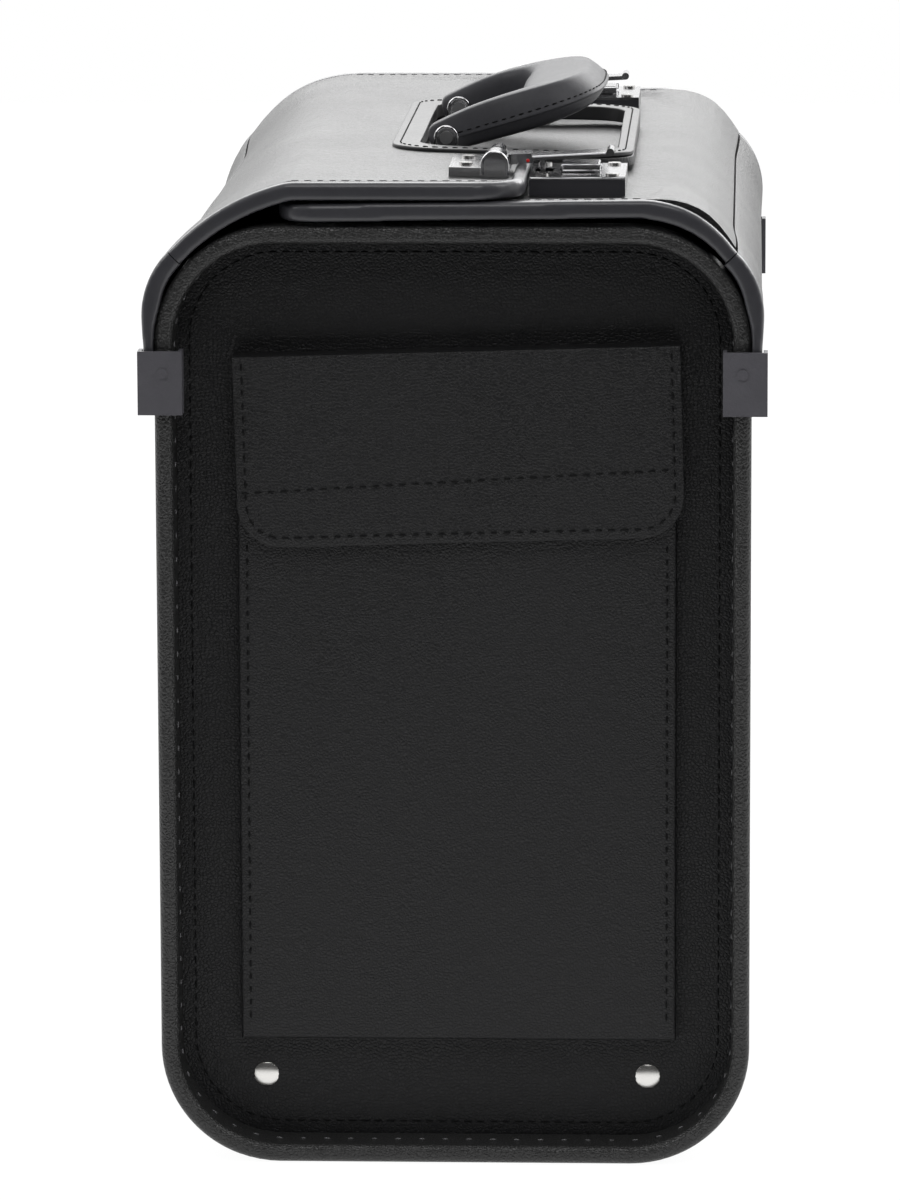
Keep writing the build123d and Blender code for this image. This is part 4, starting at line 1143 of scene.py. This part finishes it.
@dataclass
class Bail:
    """The padded handle: two round-ended legs that widen into a broad grip with a welted seam.

    A station is an X, Y, width, bottom and top of the level handle, from leg to middle. The profile is its
    section in shares of half the width and of the height.
    """

    stitching: Stitching
    pivot: tuple = (-9.0, 0.0, 383.7)
    lie: float = 16.0
    hole: float = 2.05
    drill_reach: float = 75.0
    drill_sides: int = 24
    seam_height: float = 0.06
    seam_stop: int = 16
    profile: tuple = (
        (1.03, -0.12), (1.0, 0.0), (0.90, 0.36), (0.76, 0.72), (0.68, 0.86), (0.56, 0.94), (0.10, 1.0),
        (-0.52, 0.97), (-0.84, 0.80), (-1.0, 0.38), (-1.0, -0.28), (-0.86, -0.80), (-0.55, -0.98),
        (0.25, -1.0), (0.70, -0.86), (0.93, -0.42), (0.985, -0.26), (1.03, -0.20))
    stations: tuple = (
        (-7.2, 60.0, 2.4, -1.5, 1.5), (-6.6, 60.0, 7.0, -4.2, 4.0), (-4.6, 60.0, 11.2, -6.0, 6.0),
        (0.0, 60.0, 12.3, -6.6, 7.0), (6.0, 60.0, 12.3, -6.6, 8.0), (14.0, 60.0, 12.6, -6.7, 9.0),
        (24.0, 59.2, 13.8, -6.9, 9.5), (35.0, 55.2, 18.4, -7.2, 9.4), (43.0, 48.0, 24.6, -7.1, 8.9),
        (46.8, 37.0, 31.0, -6.8, 8.4), (47.6, 24.0, 34.2, -6.6, 8.1), (47.8, 8.0, 35.0, -6.6, 8.0))

    @staticmethod
    def smoothed(points: list[tuple], steps: int, closed: bool) -> list[tuple]:
        """Fill in a row of points smoothly.

        Args:
            points: The points, of any number of values.
            steps: How many pieces each gap becomes.
            closed: Whether the row closes on itself.

        Returns:
            The filled row.
        """
        count, filled = len(points), []
        for index in range(count if closed else count - 1):
            places = [index + shift for shift in (-1, 0, 1, 2)]
            near = [points[place % count if closed else min(max(place, 0), count - 1)] for place in places]
            for step in range(steps):
                t = step / steps
                filled.append(tuple(
                    0.5 * (2 * b + (c - a) * t + (2 * a - 5 * b + 4 * c - d) * t * t
                           + (3 * b - a - 3 * c + d) * t * t * t)
                    for a, b, c, d in zip(*near)))
        return filled if closed else filled + [points[-1]]

    def path(self) -> list[tuple]:
        """Return the stations from the near pivot round to the rear one, smoothly filled in."""
        near = [(x, -y, *rest) for x, y, *rest in self.stations]
        rear = [(x, y, *rest) for x, y, *rest in reversed(self.stations)]
        return self.smoothed(near + rear, 4, False)

    def section(self, line: list[tuple], index: int, across: float, upward: float) -> Vector:
        """Return a point on the handle's skin.

        Args:
            line: The filled path.
            index: The place along it.
            across: Where it is in the width, 1 on the outer side and -1 on the inner.
            upward: Where it is in the height, 1 at the top and -1 at the bottom.

        Returns:
            The point, in metres.
        """
        x, y, width, low, high = line[index]
        ahead, behind = line[min(index + 1, len(line) - 1)], line[max(index - 1, 0)]
        along = Vector((ahead[0] - behind[0], ahead[1] - behind[1], 0.0)).normalized()
        outward = Vector((along.y, -along.x, 0.0)) * across * width / 2
        point = Vector((x + outward.x, y + outward.y, upward * (high if upward > 0 else -low)))
        return (Vector(self.pivot) + Matrix.Rotation(math.radians(-self.lie), 3, "Y") @ point) * MM

    def dress(self) -> None:
        """Loft the handle, bore it for its pins and sew its seam."""
        line, ring_points = self.path(), self.smoothed(list(self.profile), 3, True)
        rings = len(line)
        points = [self.section(line, ring, *corner) for ring in range(rings) for corner in ring_points]
        mesh = self.bored(mesh_from("handle_bail", points, tube_faces(rings, len(ring_points))))
        piece = new_piece("handle_bail", mesh, Finish.HANDLE, "handle", "handle_grip")
        mesh.set_sharp_from_angle(angle=math.radians(50.0))
        sewn = range(self.seam_stop, rings - self.seam_stop)
        seam = [tuple(self.section(line, ring, 1.0, self.seam_height) / MM) for ring in sewn]
        self.stitching.row("handle_seam", [seam], "handle", Seam.HANDLE)

    def bored(self, mesh: bpy.types.Mesh) -> bpy.types.Mesh:
        """Cut the pin holes through both legs.

        Args:
            mesh: The lofted handle.

        Returns:
            The bored mesh.
        """
        place = Matrix.Translation(Vector(self.pivot) * MM) @ Matrix.Rotation(math.pi / 2, 4, "X")
        build = bmesh.new()
        bmesh.ops.create_cone(build, cap_ends=True, segments=self.drill_sides, radius1=self.hole * MM,
                              radius2=self.hole * MM, depth=2 * self.drill_reach * MM, matrix=place)
        drill = in_scene("drill", bpy.data.meshes.new("drill"))
        build.to_mesh(drill.data)
        build.free()
        block = in_scene("block", mesh)
        cut = block.modifiers.new("bore", "BOOLEAN")
        cut.operation, cut.solver, cut.object = "DIFFERENCE", "EXACT", drill
        result = result_of(block)
        bpy.data.objects.remove(drill)
        return result


@dataclass
class ArchRims:
    """The bright rolled edges of the handle's cheeks, the locks and the hasps.

    An arch is given by its X, distance from the middle, centre height, radius and foot, and any other edge
    by its left, right, low, high and distance from the middle.
    """

    wire: float = 0.65
    sides: int = 10
    cheek: tuple = (-9.0, 68.85, 383.7, 4.35, 376.5)
    inner_cheek: tuple = (-9.0, 51.15, 383.7, 4.35, 376.5)
    knuckle: tuple = (14.76, 183.0, 384.95, 4.85, 380.9)
    trim: float = 0.36
    button: tuple = (40.5, 55.5, 381.1, 383.25, 167.0)
    plate: tuple = (28.5, 64.5, 379.65, 379.95, 182.95)
    arm: tuple = (28.7, 57.2, 386.2, 387.7, 164.95)

    @staticmethod
    def wire_nodes() -> LineNodes:
        """Return the node group that sweeps a wire along a line."""
        nodes = LineNodes("rolled_edge", {"Radius": "Float", "Sides": "Int", "Material": "Material"})
        circle = nodes.node("GeometryNodeCurvePrimitiveCircle", {}, {
            "Resolution": nodes.given.also("Sides"), "Radius": nodes.given.also("Radius")})
        nodes.close(nodes.node("GeometryNodeCurveToMesh", {}, {
            "Curve": nodes.curve, "Profile Curve": circle, "Fill Caps": True}))
        return nodes

    @staticmethod
    def arch(place: tuple, side: int) -> list[tuple]:
        """Return the line of one arch: up one leg, over and down the other.

        Args:
            place: The arch, as its field gives it.
            side: -1 for the front, 1 for the rear.

        Returns:
            The points, in millimetres.
        """
        x, y, z, radius, foot = place
        turns = [math.radians(turn) for turn in range(0, 181, 12)]
        over = [(x - radius * math.cos(turn), side * y, z + radius * math.sin(turn)) for turn in turns]
        return [(x - radius, side * y, foot)] + over + [(x + radius, side * y, foot)]

    def edges(self, end: str, side: int) -> list[tuple]:
        """Return the rolled edges of one end's fittings.

        Args:
            end: "front" or "rear".
            side: -1 for the front, 1 for the rear.

        Returns:
            Each edge's name, its wire's radius, its body and its line, in millimetres.
        """
        loops = {}
        for name, (left, right, low, high, y) in (("button", self.button), ("plate", self.plate)):
            corners = ((left, low), (left, high), (right, high), (right, low), (left, low))
            loops[name] = [(x, side * y, z) for x, z in corners]
        left, right, low, high, y = self.arm
        return [
            ("cheek", self.wire, "inner_flap", self.arch(self.cheek, side)),
            ("inner_cheek", self.wire, "inner_flap", self.arch(self.inner_cheek, side)),
            ("knuckle", self.wire, "outer_flap", self.arch(self.knuckle, side)),
            ("button", self.trim, f"{end}_slider", loops["button"]),
            ("plate", self.trim, "inner_flap", loops["plate"]),
            ("arm", self.trim, f"{end}_hasp", [(left, side * y, low), (right, side * y, high)])]

    def dress(self) -> None:
        """Roll every edge of both ends."""
        nodes = self.wire_nodes()
        for end, side in zip(ENDS, (-1, 1)):
            for label, radius, body, line in self.edges(end, side):
                name = f"{end}_{label}_rim"
                mesh = nodes.run(name, [line], {
                    "Radius": radius * MM, "Sides": self.sides, "Material": Finish.CHROME.material()})
                new_piece(name, mesh, Finish.CHROME, body)


@dataclass
class HaspMarks:
    """The small red mark at the root of each hasp arm."""

    place: tuple = (27.0, 164.95, 384.7)
    radius: float = 0.75
    rise: float = 0.4
    sides: int = 12
    turns: tuple = (0.0, 30.0, 60.0)

    def dress(self) -> None:
        """Set one low dome on each arm."""
        for end, side in zip(ENDS, (-1, 1)):
            centre = Vector((self.place[0], side * self.place[1], self.place[2]))
            points = []
            for turn in (math.radians(value) for value in self.turns):
                radius, rise = self.radius * math.cos(turn), self.rise * math.sin(turn)
                for angle in (2 * math.pi * step / self.sides for step in range(self.sides)):
                    ring = Vector((radius * math.cos(angle), side * rise, radius * math.sin(angle)))
                    points.append((centre + ring) * MM)
            name = f"{end}_hasp_mark"
            mesh = mesh_from(name, points, tube_faces(len(self.turns), self.sides))
            new_piece(name, mesh, Finish.RED, f"{end}_hasp")


def main() -> None:
    """Build the looks of the case, piece by piece."""
    logging.basicConfig(level=logging.INFO, format="%(message)s")
    bpy.context.scene.view_settings.view_transform = "Standard"
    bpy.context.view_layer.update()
    Studio().build()
    stitching = Stitching()
    shoulders = Shoulders()
    for assembly in (CarriedNodes(), CaseEnds(stitching), shoulders, Piping(shoulders), Pocket(stitching),
                     TopTrim(stitching, shoulders), Bail(stitching), ArchRims(), HaspMarks()):
        log.info("Dressing %s", type(assembly).__name__)
        assembly.dress()


if __name__ == "__main__":
    main()
